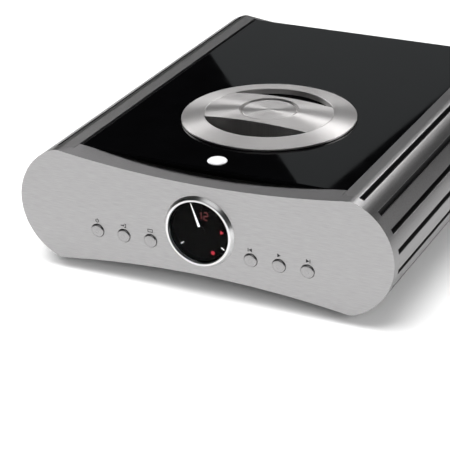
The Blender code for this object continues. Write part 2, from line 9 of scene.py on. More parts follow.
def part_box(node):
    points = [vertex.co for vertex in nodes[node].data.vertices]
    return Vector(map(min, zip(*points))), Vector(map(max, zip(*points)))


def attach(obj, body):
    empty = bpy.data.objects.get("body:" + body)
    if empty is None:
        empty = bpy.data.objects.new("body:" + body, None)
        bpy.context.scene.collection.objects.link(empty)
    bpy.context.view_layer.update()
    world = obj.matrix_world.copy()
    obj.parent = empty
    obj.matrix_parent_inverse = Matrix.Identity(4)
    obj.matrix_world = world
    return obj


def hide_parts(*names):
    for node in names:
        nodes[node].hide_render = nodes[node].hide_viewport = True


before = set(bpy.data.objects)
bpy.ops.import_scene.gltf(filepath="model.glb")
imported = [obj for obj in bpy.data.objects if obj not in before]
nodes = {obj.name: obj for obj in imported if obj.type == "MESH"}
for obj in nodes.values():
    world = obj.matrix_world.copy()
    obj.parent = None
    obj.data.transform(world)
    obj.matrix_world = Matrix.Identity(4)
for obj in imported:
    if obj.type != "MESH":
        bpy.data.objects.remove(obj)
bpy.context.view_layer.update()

MM = 0.001


def extent(name):
    """A CAD node's two corners and its middle."""
    low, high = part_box(name)
    return low, high, (low + high) / 2


def mm(values):
    """Lengths or points in millimetres, turned into metres."""
    return [value * MM if isinstance(value, (int, float)) else tuple(part * MM for part in value)
            for value in values]


# ---- places, read from the frame
plate_low, plate_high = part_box("front_plate")
FRONT = plate_low.y
MID = (plate_low.z + plate_high.z) / 2
PLATE_BACK = plate_high.y
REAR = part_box("rear_panel")[1].y
REAR_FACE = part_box("rear_panel")[0].y
RAIL_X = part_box("heatsink_right")[0].x
RAIL_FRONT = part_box("heatsink_right")[0].y
PANEL_LOW, PANEL_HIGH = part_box("top_panel")
LID_LOW, LID_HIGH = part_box("lid_ring")
LID = Vector(((LID_LOW.x + LID_HIGH.x) / 2, (LID_LOW.y + LID_HIGH.y) / 2, MID))
DIAL_LOW, DIAL_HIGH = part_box("dial_bezel")
DIAL = Vector((0.0, FRONT, (DIAL_LOW.z + DIAL_HIGH.z) / 2))
BUTTONS = ("standby", "input", "display", "previous", "play", "next")

# ---- shape of the case
WIDTH = plate_high.x - plate_low.x
WAIST = 38.9 * MM
END_RADIUS = 50.5 * MM
SCOOP_RADIUS = 894 * MM
END_X = WIDTH / 2 - END_RADIUS
SCOOP_RISE = 0.045          # how much the front scoop climbs towards the back
RAIL_INNER = 47.2 * MM      # height of the side rails beside the panel, over the middle line
RAIL_TOP = 47.8 * MM
CORNER_RADIUS = 16 * MM
SLOT_PITCH = math.radians(19)
SLOT_WIDTH = 4.2 * MM
SLOT_DEPTH = 8 * MM
OUTER_SLOT_SHIFT = math.radians(0.7)      # the slots at the shoulders sit a little higher
SLOTS_PER_SIDE = 8
SEAM = 0.06 * MM
BUTTON_BORE = 5.95 * MM
STEM_BORE = 2.7 * MM
DIAL_BORE = 24.8 * MM

# ---- lid
LID_RADIUS = (LID_HIGH.x - LID_LOW.x) / 2
LID_HOLE = 54 * MM
CROWN = 54.4 * MM
DOME_RADIUS = 415 * MM
GRIP_HALF = 28.5 * MM
GRIP_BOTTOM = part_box("lid_grip")[0].z - MID
DISH_RADIUS = 24.66 * MM
DISH_FLOOR = 49 * MM
KNOB_RADIUS = 22.75 * MM
WELL_RADIUS = 63 * MM


# ======== mesh helpers
def link(obj):
    bpy.context.scene.collection.objects.link(obj)
    return obj


def shade(mesh):
    mesh.shade_smooth()
    mesh.set_sharp_from_angle(angle=math.radians(30))


def add_mesh(name, bm, materials, place=(0, 0, 0), turn=(0, 0, 0)):
    bmesh.ops.recalc_face_normals(bm, faces=bm.faces)
    mesh = bpy.data.meshes.new(name)
    bm.to_mesh(mesh)
    bm.free()
    for material in materials:
        mesh.materials.append(material)
    shade(mesh)
    obj = link(bpy.data.objects.new(name, mesh))
    obj.location = place
    obj.rotation_euler = turn
    return obj


FACING = {"up": (0, 0, 0), "front": (math.pi / 2, 0, 0), "rear": (-math.pi / 2, 0, 0),
          "down": (math.pi, 0, 0)}


def rounded(points, radius, steps=4, closed=True):
    """A 2D outline with each corner softened; radius may be one number or one for each point."""
    radii = [radius] * len(points) if isinstance(radius, (int, float)) else list(radius)
    out = []
    for i, point in enumerate(points):
        here = Vector(point)
        if not closed and i in (0, len(points) - 1) or radii[i] <= 0:
            out.append(tuple(here))
            continue
        before = Vector(points[i - 1]) - here
        after = Vector(points[(i + 1) % len(points)]) - here
        reach = min(radii[i], before.length * 0.45, after.length * 0.45)
        start, end = here + before.normalized() * reach, here + after.normalized() * reach
        for k in range(steps + 1):
            t = k / steps
            out.append(tuple(start * (1 - t) ** 2 + here * 2 * t * (1 - t) + end * t ** 2))
    return out


def lathe(name, profile, materials, place, facing="up", steps=96, closed=False, slots=None):
    """Turn (radius, height) points about the piece's own axis. slots gives a material to each edge."""
    bm = bmesh.new()
    rows = []
    for radius, height in profile:
        if radius < 1e-7:
            rows.append([bm.verts.new((0, 0, height))])
            continue
        turns = [2 * math.pi * k / steps for k in range(steps)]
        rows.append([bm.verts.new((radius * math.cos(a), radius * math.sin(a), height)) for a in turns])
    pairs = list(zip(rows, rows[1:])) + ([(rows[-1], rows[0])] if closed else [])
    for number, (a, b) in enumerate(pairs):
        for k in range(steps):
            n = (k + 1) % steps
            corners = [a[k % len(a)], a[n % len(a)], b[n % len(b)], b[k % len(b)]]
            corners = [v for i, v in enumerate(corners) if v not in corners[:i]]
            if len(corners) > 2:
                face = bm.faces.new(corners)
                face.material_index = slots[number] if slots else 0
    return add_mesh(name, bm, materials, place, FACING[facing])


def prism(name, outline, low, high, materials, place=(0, 0, 0), upright=False):
    """A flat (x, z) outline extruded along Y, or an (x, y) one along Z, from low to high."""
    bm = bmesh.new()
    loops = [[bm.verts.new((a, b, far) if upright else (a, far, b)) for a, b in outline]
             for far in (low, high)]
    bm.faces.new(loops[0])
    bm.faces.new(list(reversed(loops[1])))
    for i in range(len(outline)):
        k = (i + 1) % len(outline)
        bm.faces.new((loops[0][i], loops[1][i], loops[1][k], loops[0][k]))
    return add_mesh(name, bm, materials, place)


def block(name, low, high, materials, bevel=0.0, segments=3):
    """A box between two corners, its edges softened."""
    low, high = Vector(low), Vector(high)
    bm = bmesh.new()
    bmesh.ops.create_cube(bm, size=1.0)
    bmesh.ops.scale(bm, vec=high - low, verts=bm.verts)
    if bevel:
        bmesh.ops.bevel(bm, geom=bm.edges, offset=bevel, segments=segments, profile=0.5, affect="EDGES")
    return add_mesh(name, bm, materials, (low + high) / 2)


def cut(obj, *cutters):
    """Subtract the cutters for good and drop them."""
    for cutter in cutters:
        step = obj.modifiers.new("cut", "BOOLEAN")
        step.object = cutter
        step.solver = "EXACT"
    apply_modifiers(obj)
    shade(obj.data)
    for cutter in cutters:
        bpy.data.objects.remove(cutter)


def apply_modifiers(obj):
    bpy.context.view_layer.update()
    evaluated = obj.evaluated_get(bpy.context.evaluated_depsgraph_get())
    mesh = bpy.data.meshes.new_from_object(evaluated)
    obj.modifiers.clear()
    old, obj.data = obj.data, mesh
    bpy.data.meshes.remove(old)
    mesh.name = obj.name


def soften(obj, width, segments=2, angle=35):
    """Round the sharp edges."""
    step = obj.modifiers.new("soften", "BEVEL")
    step.width = width
    step.segments = segments
    step.limit_method = "ANGLE"
    step.angle_limit = math.radians(angle)
    apply_modifiers(obj)
    shade(obj.data)


def join(name, pieces):
    """Several pieces become one object with the materials they share."""
    bpy.context.view_layer.update()
    bm = bmesh.new()
    materials = []
    for piece in pieces:
        start = len(bm.faces)
        mesh = piece.data.copy()
        mesh.transform(piece.matrix_world)
        bm.from_mesh(mesh)
        bm.faces.ensure_lookup_table()
        for face in bm.faces[start:]:
            own = piece.data.materials[face.material_index]
            if own not in materials:
                materials.append(own)
            face.material_index = materials.index(own)
        bpy.data.meshes.remove(mesh)
    for piece in pieces:
        bpy.data.objects.remove(piece)
    mesh = bpy.data.meshes.new(name)
    bm.to_mesh(mesh)
    bm.free()
    for material in materials:
        mesh.materials.append(material)
    shade(mesh)
    return link(bpy.data.objects.new(name, mesh))


def weigh_normals(obj):
    """Keep flat faces flat beside their rounded edges."""
    step = obj.modifiers.new("normals", "WEIGHTED_NORMAL")
    step.keep_sharp = True
    step.weight = 50
    apply_modifiers(obj)


def show(obj, body, slot, *replaced):
    """The piece rides on its body and stands for the CAD nodes it replaces."""
    weigh_normals(obj)
    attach(obj, body)
    if replaced:
        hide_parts(*replaced)


def arc(centre, radius, start, end, count):
    """Points at equal steps along a circle, both ends included."""
    step = (end - start) / count
    return [(centre[0] + radius * math.cos(start + step * i), centre[1] + radius * math.sin(start + step * i))
            for i in range(count + 1)]


# ======== materials
def new_material(name, colour, roughness, metallic=0.0, **sockets):
    material = bpy.data.materials.new(name)
    material.use_nodes = True
    shader = material.node_tree.nodes["Principled BSDF"]
    shader.inputs["Base Color"].default_value = (*colour, 1.0)
    shader.inputs["Roughness"].default_value = roughness
    shader.inputs["Metallic"].default_value = metallic
    for socket, value in sockets.items():
        shader.inputs[socket.replace("_", " ")].default_value = value
    return material


def node(material, kind, **values):
    made = material.node_tree.nodes.new(kind)
    for key, value in values.items():
        setattr(made, key, value)
    return made


def wire(material, source, target):
    material.node_tree.links.new(source, target)


def object_coordinates(material, scale):
    """The piece's own coordinates, stretched by one factor or by one for each axis."""
    place = node(material, "ShaderNodeTexCoord")
    mapping = node(material, "ShaderNodeMapping")
    mapping.inputs["Scale"].default_value = (scale,) * 3 if isinstance(scale, (int, float)) else scale
    wire(material, place.outputs["Object"], mapping.inputs["Vector"])
    return mapping.outputs["Vector"]


def noise(material, vector, detail=3.0):
    made = node(material, "ShaderNodeTexNoise")
    made.inputs["Scale"].default_value = 1.0
    made.inputs["Detail"].default_value = detail
    made.inputs["Roughness"].default_value = 0.55
    wire(material, vector, made.inputs["Vector"])
    return made.outputs["Fac"]


def spread(material, fac, low, high, target):
    """The middle part of a noise factor, stretched between two values, drives a socket."""
    made = node(material, "ShaderNodeMapRange")
    for key, value in (("From Min", 0.3), ("From Max", 0.7), ("To Min", low), ("To Max", high)):
        made.inputs[key].default_value = value
    wire(material, fac, made.inputs["Value"])
    wire(material, made.outputs["Result"], target)


def tint(material, fac, dark, light):
    """The base colour runs from dark to light with a noise factor."""
    ramp = node(material, "ShaderNodeValToRGB")
    ramp.color_ramp.elements[0].color = (*dark, 1.0)
    ramp.color_ramp.elements[1].color = (*light, 1.0)
    spread(material, fac, 0.0, 1.0, ramp.inputs["Fac"])
    shader = material.node_tree.nodes["Principled BSDF"]
    wire(material, ramp.outputs["Color"], shader.inputs["Base Color"])


def bump(material, fac, strength, distance):
    made = node(material, "ShaderNodeBump")
    made.inputs["Strength"].default_value = strength
    made.inputs["Distance"].default_value = distance
    wire(material, fac, made.inputs["Height"])
    shader = material.node_tree.nodes["Principled BSDF"]
    wire(material, made.outputs["Normal"], shader.inputs["Normal"])


def scaled(colour, factor):
    return tuple(channel * factor for channel in colour)


def grained(name, colour, roughness, metallic, scale, strength=0.2, rough_by=0.06, colour_by=0.06,
            distance=0.05 * MM, **sockets):
    """A finish with one stretched noise in its colour, roughness and relief."""
    material = new_material(name, colour, roughness, metallic, **sockets)
    shader = material.node_tree.nodes["Principled BSDF"]
    fac = noise(material, object_coordinates(material, scale), detail=4.0)
    tint(material, fac, scaled(colour, 1 - colour_by), scaled(colour, 1 + colour_by))
    spread(material, fac, roughness - rough_by, roughness + rough_by, shader.inputs["Roughness"])
    bump(material, fac, strength, distance)
    return material


def turned_metal(name, colour, roughness, anisotropic, pitch):
    """Metal faced on a lathe: rings about the piece's axis in relief, and a streak of light across them."""
    material = new_material(name, colour, roughness, 1.0, Anisotropic=anisotropic, Anisotropic_Rotation=0.25)
    shader = material.node_tree.nodes["Principled BSDF"]
    place = node(material, "ShaderNodeTexCoord")
    flat = node(material, "ShaderNodeVectorMath", operation="MULTIPLY")
    flat.inputs[1].default_value = (1, 1, 0)
    length = node(material, "ShaderNodeVectorMath", operation="LENGTH")
    wire(material, place.outputs["Object"], flat.inputs[0])
    wire(material, flat.outputs["Vector"], length.inputs[0])
    rings = node(material, "ShaderNodeTexNoise", noise_dimensions="1D")
    rings.inputs["Scale"].default_value = 1 / pitch
    rings.inputs["Detail"].default_value = 3.0
    wire(material, length.outputs["Value"], rings.inputs["W"])
    tint(material, rings.outputs["Fac"], scaled(colour, 0.95), scaled(colour, 1.05))
    spread(material, rings.outputs["Fac"], roughness - 0.04, roughness + 0.04, shader.inputs["Roughness"])
    bump(material, rings.outputs["Fac"], 0.12, 0.02 * MM)
    tangent = node(material, "ShaderNodeTangent", direction_type="RADIAL", axis="Z")
    wire(material, tangent.outputs["Tangent"], shader.inputs["Tangent"])
    return material


def light_print(name, colour, strength):
    """A print that glows a little; on the needle, ticks and red marks this is painted light in place of the
    lamp light that the dial's glass keeps off them.
    """
    material = new_material(name, colour, 0.5)
    shader = material.node_tree.nodes["Principled BSDF"]
    shader.inputs["Emission Color"].default_value = (*colour, 1.0)
    shader.inputs["Emission Strength"].default_value = strength
    fac = noise(material, object_coordinates(material, 3000))
    spread(material, fac, 0.45, 0.55, shader.inputs["Roughness"])
    return material


def brushed_metal(name, colour):
    """Fine lines along X, which spread the light across them."""
    material = grained(name, colour, 0.36, 1.0, (90, 1500, 1300), rough_by=0.07, colour_by=0.13,
                       Anisotropic=0.5, Anisotropic_Rotation=0.25)
    along = node(material, "ShaderNodeCombineXYZ")
    along.inputs[0].default_value = 1.0
    wire(material, along.outputs["Vector"], material.node_tree.nodes["Principled BSDF"].inputs["Tangent"])
    return material


def make_metals():
    silver_grey, pale_grey = (0.61, 0.596, 0.592), (0.66, 0.66, 0.66)
    return {
        "brushed": brushed_metal("brushed_aluminium", (0.36, 0.355, 0.357)),
        # The scooped bands: the front's brushed aluminium at less than half its brightness, painted shade for
        # the dimmer light they catch.
        "shaded_band": brushed_metal("brushed_band_painted_shade", (0.16, 0.157, 0.159)),
        "finned": grained("finned_aluminium", (0.2, 0.197, 0.198), 0.34, 1.0, (1500, 420, 1500), strength=0.1,
                          colour_by=0.12),
        "turned": turned_metal("turned_aluminium", silver_grey, 0.46, 0.85, 0.45 * MM),
        "knob": turned_metal("turned_knob", (0.57, 0.557, 0.553), 0.42, 0.85, 0.45 * MM),
        "button": turned_metal("turned_button", (0.31, 0.305, 0.307), 0.30, 0.6, 0.3 * MM),
        "bezel": turned_metal("turned_bezel", pale_grey, 0.31, 0.5, 0.3 * MM),
        "steel": grained("bright_steel", (0.62, 0.62, 0.63), 0.22, 1.0, (60, 1400, 1400)),
        "zinc": grained("motor_can", (0.50, 0.50, 0.50), 0.34, 1.0, 300),
        "gold": grained("gold_plate", (0.83, 0.58, 0.23), 0.22, 1.0, 700, strength=0.08),
        "silver": grained("badge_silver", (0.86, 0.86, 0.88), 0.45, 0.6, 3000, strength=0.02)}


def make_blacks():
    return {
        # Black for the deep insides of the side slots: painted shade in the grooves.
        "slot": grained("slot_painted_shade", (0.012, 0.012, 0.012), 0.6, 0.0, (600, 60, 600), colour_by=0.3),
        "gloss": grained("gloss_black", (0.001, 0.001, 0.0012), 0.03, 0.0, 40, strength=0.0, rough_by=0.01,
                         colour_by=0.2),
        "satin": grained("satin_black", (0.014, 0.014, 0.015), 0.42, 0.0, 2500, strength=0.15, colour_by=0.2),
        "tray": grained("tray_black", (0.003, 0.003, 0.003), 0.2, 0.0, 2500, strength=0.05, rough_by=0.03,
                        colour_by=0.2, Specular_IOR_Level=0.35),
        "dial": grained("dial_black", (0.0006, 0.0006, 0.0006), 0.6, 0.0, 2000, colour_by=0.2,
                        Specular_IOR_Level=0.01),
        "rubber": grained("rubber", (0.018, 0.018, 0.018), 0.75, 0.0, 1800, strength=0.3, colour_by=0.25),
        "painted": grained("painted_steel", (0.035, 0.035, 0.037), 0.5, 0.0, 1600, strength=0.35,
                           colour_by=0.2, distance=0.08 * MM)}


def make_colours():
    return {
        "glass": grained("dial_glass", (0.92, 0.93, 0.94), 0.02, 0.0, 30, strength=0.0, rough_by=0.005,
                         colour_by=0.02, Transmission_Weight=1.0, IOR=1.08, Specular_IOR_Level=0.06),
        "lens": grained("lens_glass", (0.06, 0.08, 0.22), 0.05, 0.0, 300, strength=0.0, rough_by=0.01,
                        Coat_Weight=1.0),
        "board": grained("circuit_board", (0.015, 0.11, 0.045), 0.4, 0.0, 420, strength=0.3, colour_by=0.5),
        "sleeve": grained("capacitor_sleeve", (0.02, 0.03, 0.09), 0.3, 0.0, (90, 90, 900)),
        "tape": grained("winding_tape", (0.60, 0.42, 0.10), 0.45, 0.0, (500, 500, 60), strength=0.4),
        "red_ring": grained("red_ring", (0.35, 0.02, 0.02), 0.4, 0.0, 1500),
        "dark_ring": grained("dark_ring", (0.05, 0.05, 0.06), 0.4, 0.0, 1500)}


def make_prints():
    return {
        "ink": grained("printed_ink", (0.012, 0.012, 0.013), 0.7, 0.0, 2500, colour_by=0.2,
                       Specular_IOR_Level=0.1),
        "pale_ink": grained("pale_ink", (0.62, 0.62, 0.62), 0.5, 0.0, 2500),
        # The needle, the ticks and the red marks glow: painted light in place of the lamp light the dial's
        # glass keeps from them; the dim figures glow too.
        "white": light_print("needle_white", (0.85, 0.85, 0.85), 0.75),
        "red": light_print("dial_red", (0.45, 0.01, 0.025), 0.55),
        "dim_red": light_print("dial_dim_red", (0.12, 0.004, 0.005), 0.16)}


mat = {**make_metals(), **make_blacks(), **make_colours(), **make_prints()}


# ======== case
def top_corner():
    """Centre and start angle of the arc between the rail's top and the round end."""
    near = END_RADIUS - CORNER_RADIUS
    height = RAIL_TOP - CORNER_RADIUS
    along = math.sqrt(near ** 2 - height ** 2)
    return (END_X + along, height), math.atan2(height, along)


def upper_right(x_from, count=14):
    """The flat top and the corner, from x_from to where the round end starts."""
    centre, stop = top_corner()
    return [(x_from, RAIL_INNER)] + arc(centre, CORNER_RADIUS, math.pi / 2, stop, count)


def plate_outline():
    corner = upper_right(RAIL_X)
    stop = top_corner()[1]
    quarter = corner + arc((END_X, 0.0), END_RADIUS, stop, 0.0, 40)[1:]
    right = quarter + [(x, -z) for x, z in reversed(quarter[:-1])]
    return right + [(-x, z) for x, z in reversed(right)]


def scoop_cutter(sign):
    """The hollow that the front plate's top or bottom edge is cut to."""
    half, far = 0.4875 * WIDTH, 80 * MM          # both reach outside the plate
    angle = math.asin(half / SCOOP_RADIUS)
    centre = (0.0, WAIST + SCOOP_RADIUS)
    lower = arc(centre, SCOOP_RADIUS, -math.pi / 2 - angle, -math.pi / 2 + angle, 120)
    points = [(x, z * sign) for x, z in lower + [(half, far), (-half, far)]]
    cutter = prism("scoop", points, -4 * MM, 24 * MM, [], (0, FRONT, MID))
    for vertex in cutter.data.vertices:
        if abs(vertex.co.z) < far - MM:
            vertex.co.z += sign * SCOOP_RISE * vertex.co.y
    return cutter


def cylinder_cutter(radius, place, length, facing="front", steps=96):
    return lathe("bore", [(0, length / 2), (radius, length / 2), (radius, -length / 2), (0, -length / 2)],
                 [], place, facing, steps)


def scoop_height(x, y):
    """Height of the scooped band over the middle line, at a depth behind the front face."""
    return WAIST + SCOOP_RADIUS - math.sqrt(SCOOP_RADIUS ** 2 - x ** 2) + SCOOP_RISE * y


def paint_rim(obj, depth):
    """Front face and scooped bands are brushed, the bands in a darker copy of the same finish that paints in
    their shade; the round rim is blasted like the fins.
    """
    slot = len(obj.data.materials)
    obj.data.materials.append(mat["shaded_band"])
    obj.data.materials.append(mat["finned"])
    for face in obj.data.polygons:
        x, y, z = face.center
        shaded_band = abs(face.normal.z) > 0.9 and abs(abs(z) - scoop_height(x, y + depth)) < 0.25 * MM
        if shaded_band:
            face.material_index = slot
        elif depth == 0.0 and face.normal.y > -0.3 and math.hypot(x, z - DIAL.z + MID) > 26 * MM:
            face.material_index = slot + 1


def make_front_plate():
    thickness = PLATE_BACK - FRONT
    end_back = RAIL_FRONT - FRONT - SEAM * 4
    plate = prism("front_panel", plate_outline(), 0.0, thickness, [mat["brushed"]], (0, FRONT, MID))
    cutters = [scoop_cutter(1), scoop_cutter(-1)]
    for side in (1, -1):
        inner, outer = side * (RAIL_X - 0.3 * MM), side * 0.2
        cutters.append(block("step", (min(inner, outer), FRONT + end_back, MID - 0.06),
                             (max(inner, outer), PLATE_BACK + 0.01, MID + 0.06), []))
    for name in BUTTONS:
        centre = extent("button_" + name)[2]
        cutters.append(cylinder_cutter(BUTTON_BORE, (centre.x, FRONT, centre.z), 8.4 * MM, steps=64))
        cutters.append(cylinder_cutter(STEM_BORE, (centre.x, FRONT + 0.01, centre.z), 40 * MM, steps=32))
    cutters.append(cylinder_cutter(DIAL_BORE, (0, FRONT + 0.01, DIAL.z), 60 * MM, steps=128))
    cut(plate, *cutters)
    soften(plate, 0.2 * MM, 2, 40)
    paint_rim(plate, 0.0)
    show(plate, "chassis", "brushed_aluminium", "front_plate")


def side_profile():
    """Outer line of the right side from the rail's inner edge down, with rounded slot mouths."""
    centre = top_corner()[0]
    top = SLOT_PITCH * (SLOTS_PER_SIDE - 1) / 2
    half = SLOT_WIDTH / 2
    half_angle = math.asin(half / END_RADIUS)
    reach = math.sqrt(END_RADIUS ** 2 - half ** 2)
    points, radii = [], []
    for i in range(SLOTS_PER_SIDE):
        outermost = (i == 0) - (i == SLOTS_PER_SIDE - 1)
        middle = top - SLOT_PITCH * i + outermost * OUTER_SLOT_SHIFT
        nx, nz = math.cos(middle), math.sin(middle)
        for side in (1, -1):
            lip = (END_X + nx * reach - nz * half * side, nz * reach + nx * half * side)
            floor = (lip[0] - nx * SLOT_DEPTH, lip[1] - nz * SLOT_DEPTH)
            if outermost == side:
                drop = math.sqrt(CORNER_RADIUS ** 2 - (lip[0] - centre[0]) ** 2)
                lip = (lip[0], side * (centre[1] + drop))
            points += [lip, floor] if side == 1 else [floor, lip]
        radii += [0.35 * MM, 0.4 * MM, 0.4 * MM, 0.35 * MM]
        if i < SLOTS_PER_SIDE - 1:
            after = top - SLOT_PITCH * (i + 1) + half_angle
            face = arc((END_X, 0), END_RADIUS, middle - half_angle, after, 12)[1:-1]
            points += face
            radii += [0.0] * len(face)
    shoulder = [(x, z) for x, z in upper_right(RAIL_X) if x < points[0][0] - 0.5 * MM]
    tail = [(x, -z) for x, z in reversed(shoulder)]
    return shoulder + points + tail, [0.0] * len(shoulder) + radii + [0.0] * len(tail)


def make_sides():
    points, radii = side_profile()
    outer = rounded(points, radii, 3)
    wall = END_RADIUS - 12 * MM
    roof = math.radians(75)
    inner = arc((END_X, 0), wall, -roof, roof, 32)
    outline = outer + [(RAIL_X, inner[0][1])] + inner + [(RAIL_X, inner[-1][1])]
    start = RAIL_FRONT - 3.5 * SEAM
    for side, name in ((1, "heatsink_right"), (-1, "heatsink_left")):
        obj = prism(name + "_fins", [(side * x, z) for x, z in outline], 0.0, REAR_FACE - SEAM - start,
                    [mat["finned"], mat["slot"]], (0, start, MID))
        # Faces more than 0.7 mm deep in the slots take the slot black: painted shade in the grooves of the
        # fins.
        for face in obj.data.polygons:
            centre = face.center
            depth = END_RADIUS - math.hypot(abs(centre.x) - END_X, centre.z)
            if abs(face.normal.y) < 0.5 and depth > 0.7 * MM and abs(centre.x) > 126 * MM:
                face.material_index = 1
        cut(obj, scoop_cutter(1), scoop_cutter(-1))
        paint_rim(obj, start - FRONT)
        show(obj, "chassis", "finned_aluminium", name)


def make_top_panel():
    low, high = PANEL_LOW, PANEL_HIGH
    top = high.z
    panel = block("top_glass", (low.x, PLATE_BACK + SEAM, top - 3 * MM), (high.x, REAR_FACE - SEAM, top),
                  [mat["gloss"]])
    cut(panel, cylinder_cutter(WELL_RADIUS, (LID.x, LID.y, top), 20 * MM, "up", 160))
    soften(panel, 0.06 * MM, 1)
    lip_low = low.z
    # The front lip takes the dial's unreflecting black, painted shade in the gap behind the front plate; the
    # rear lip stays gloss.
    lips = [block("front_lip", (low.x + 3 * MM, PLATE_BACK + SEAM, lip_low),
                  (high.x - 3 * MM, PLATE_BACK + 3 * MM, top - 3 * MM), [mat["dial"]]),
            block("rear_lip", (low.x + 3 * MM, REAR_FACE - 3 * MM, lip_low),
                  (high.x - 3 * MM, REAR_FACE - SEAM, top - 3 * MM), [mat["gloss"]])]
    show(join("top_cover", [panel, *lips]), "chassis", "gloss_black", "top_panel")
    low, high, centre = extent("badge")
    height = high.z - top
    profile = rounded([(0, height), (7.0 * MM, height), (8.0 * MM, 0.2 * MM), (8.0 * MM, 0), (0, 0)],
                      mm([0, 0.5, 0.2, 0, 0]), closed=False)
    badge = lathe("badge_disc", profile, [mat["silver"]], (centre.x, centre.y, top))
    show(badge, "chassis", "badge_silver", "badge")


def screw_head(name, place, facing, material, radius=2.8 * MM):
    """A domed screw head with a round socket."""
    profile = [(0, -0.3 * MM), (radius * 0.42, -0.3 * MM), (radius * 0.46, 0.9 * MM)]
    profile += [(radius * math.cos(a), 0.2 * MM + radius * 0.42 * math.sin(a))
                for a in (math.radians(d) for d in (60, 45, 30, 15, 0))]
    profile += [(radius, 0.0)]
    return lathe(name, profile, [material], place, facing, steps=30)


# ======== dial
def flat_shape(name, points, depth, material, thickness=0.08 * MM):
    """A small print or inlay: an (x, z) outline around the dial's centre at a depth behind the front."""
    return prism(name, points, depth - thickness, depth, [material], DIAL)


def bar(length, width, angle, radius):
    """A rectangle whose middle lies at a radius, at an angle clockwise from the top."""
    ux, uz = math.sin(angle), math.cos(angle)
    corners = []
    for along, aside in ((-1, -1), (-1, 1), (1, 1), (1, -1)):
        r = radius + along * length / 2
        a = aside * width / 2
        corners.append((ux * r + uz * a, uz * r - ux * a))
    return corners


SEGMENTS = {"1": "bc", "2": "abged"}


def digit(character, x, z, height, depth, material):
    """A seven-segment figure."""
    width, thick = height * 0.5, height * 0.11
    half = height / 2
    bars = {"a": (0, half, 1), "g": (0, 0, 1), "d": (0, -half, 1), "f": (-width / 2, half / 2, 0),
            "b": (width / 2, half / 2, 0), "e": (-width / 2, -half / 2, 0), "c": (width / 2, -half / 2, 0)}
    pieces = []
    for key in SEGMENTS[character]:
        cx, cz, level = bars[key]
        w, h = (width * 0.8, thick) if level else (thick, half * 0.86)
        corners = [(x + cx - w / 2, z + cz - h / 2), (x + cx + w / 2, z + cz - h / 2),
                   (x + cx + w / 2, z + cz + h / 2), (x + cx - w / 2, z + cz + h / 2)]
        pieces.append(flat_shape("segment", corners, depth, material))
    return pieces


def make_dial():
    profile = rounded([(30.4, 0.0), (28.3, 3.0), (27.9, 3.2), (26.5, 3.2), (26.3, 2.9), (26.3, 0.0)],
                      [0.3, 0.3, 0.3, 0.25, 0.2, 0.0], 3)
    bezel = lathe("dial_ring", mm(profile), [mat["bezel"]], DIAL, "front", 160, closed=True)
    show(bezel, "chassis", "turned_aluminium", "dial_bezel")
    profile = rounded([(0, 1.5), (26.1, 1.5), (26.1, 0.3), (0, 0.3)], [0, 0.2, 0.1, 0], 3, closed=False)
    window = lathe("dial_lens", mm(profile), [mat["glass"]], DIAL, "front", 128)
    show(window, "chassis", "dial_glass", "dial_window")
    profile = [(0, -4.0), (24.4, -4.0), (24.5, 0.22), (26.15, 0.22), (26.15, 0.1), (24.7, 0.1), (24.7, -4.9),
               (0, -4.9)]
    face = lathe("dial_plate", mm(profile), [mat["dial"]], DIAL, "front", 128)
    show(face, "chassis", "satin_black", "dial_face")
    make_dial_marks(4.0 * MM)


def make_dial_marks(depth):
    """The two scale ticks, the red signs and the faint figures on the dial's face."""
    marks = [flat_shape("tick", bar(3.3 * MM, 0.95 * MM, math.radians(angle), 22.5 * MM), depth,
                        mat["white"]) for angle in (126, -129.5)]
    show(join("dial_ticks", marks), "chassis", "needle_white")
    triangle = mm([(16.3, -1.2), (16.3, 2.4), (19.2, 0.6)])
    hexagon = mm(arc((9.4, -18.4), 1.9, 0, 2 * math.pi, 6)[:-1])
    red = [flat_shape("red_mark", points, depth, mat["red"]) for points in (triangle, hexagon)]
    show(join("dial_red_marks", red), "chassis", "needle_white")
    figures = digit("1", -1.6 * MM, 12.2 * MM, 6.4 * MM, depth, mat["dim_red"])
    figures += digit("2", 4.0 * MM, 12.2 * MM, 6.4 * MM, depth, mat["dim_red"])
    show(join("dial_figures", figures), "chassis", "needle_white")


def make_needle():
    profile = rounded([(0, -1.3), (3.6, -1.5), (3.6, -2.7), (0.8, -2.7), (0.8, -5.0), (0, -5.0)],
                      [0, 0.4, 0.1, 0, 0, 0], 3, closed=False)
    hub = lathe("hub", mm(profile), [mat["dial"]], DIAL, "front", 48)
    show(join("dial_needle", [hub, make_pointer(math.radians(-20))]), "needle", "needle_white", "needle")


def make_pointer(angle):
    """A slim blade with a raised back, from near the hub to the scale."""
    ux, uz = math.sin(angle), math.cos(angle)
    bm = bmesh.new()
    rings = []
    sections = ((3.2, 1.05, 0.30), (4.5, 1.0, 0.34), (14, 0.66, 0.30), (23.4, 0.28, 0.2), (24.1, 0.1, 0.1))
    for r, half, lift in sections:
        row = []
        for aside, up in ((-1, 0), (-0.45, 1), (0.45, 1), (1, 0), (0, -0.6)):
            a = aside * half
            row.append(bm.verts.new(((ux * r + uz * a) * MM, (2.0 - up * lift) * MM, (uz * r - ux * a) * MM)))
        rings.append(row)
    for a, b in zip(rings, rings[1:]):
        for k in range(5):
            bm.faces.new((a[k], a[(k + 1) % 5], b[(k + 1) % 5], b[k]))
    bm.faces.new(rings[0])
    bm.faces.new(list(reversed(rings[-1])))
    return add_mesh("pointer", bm, [mat["white"]], DIAL)


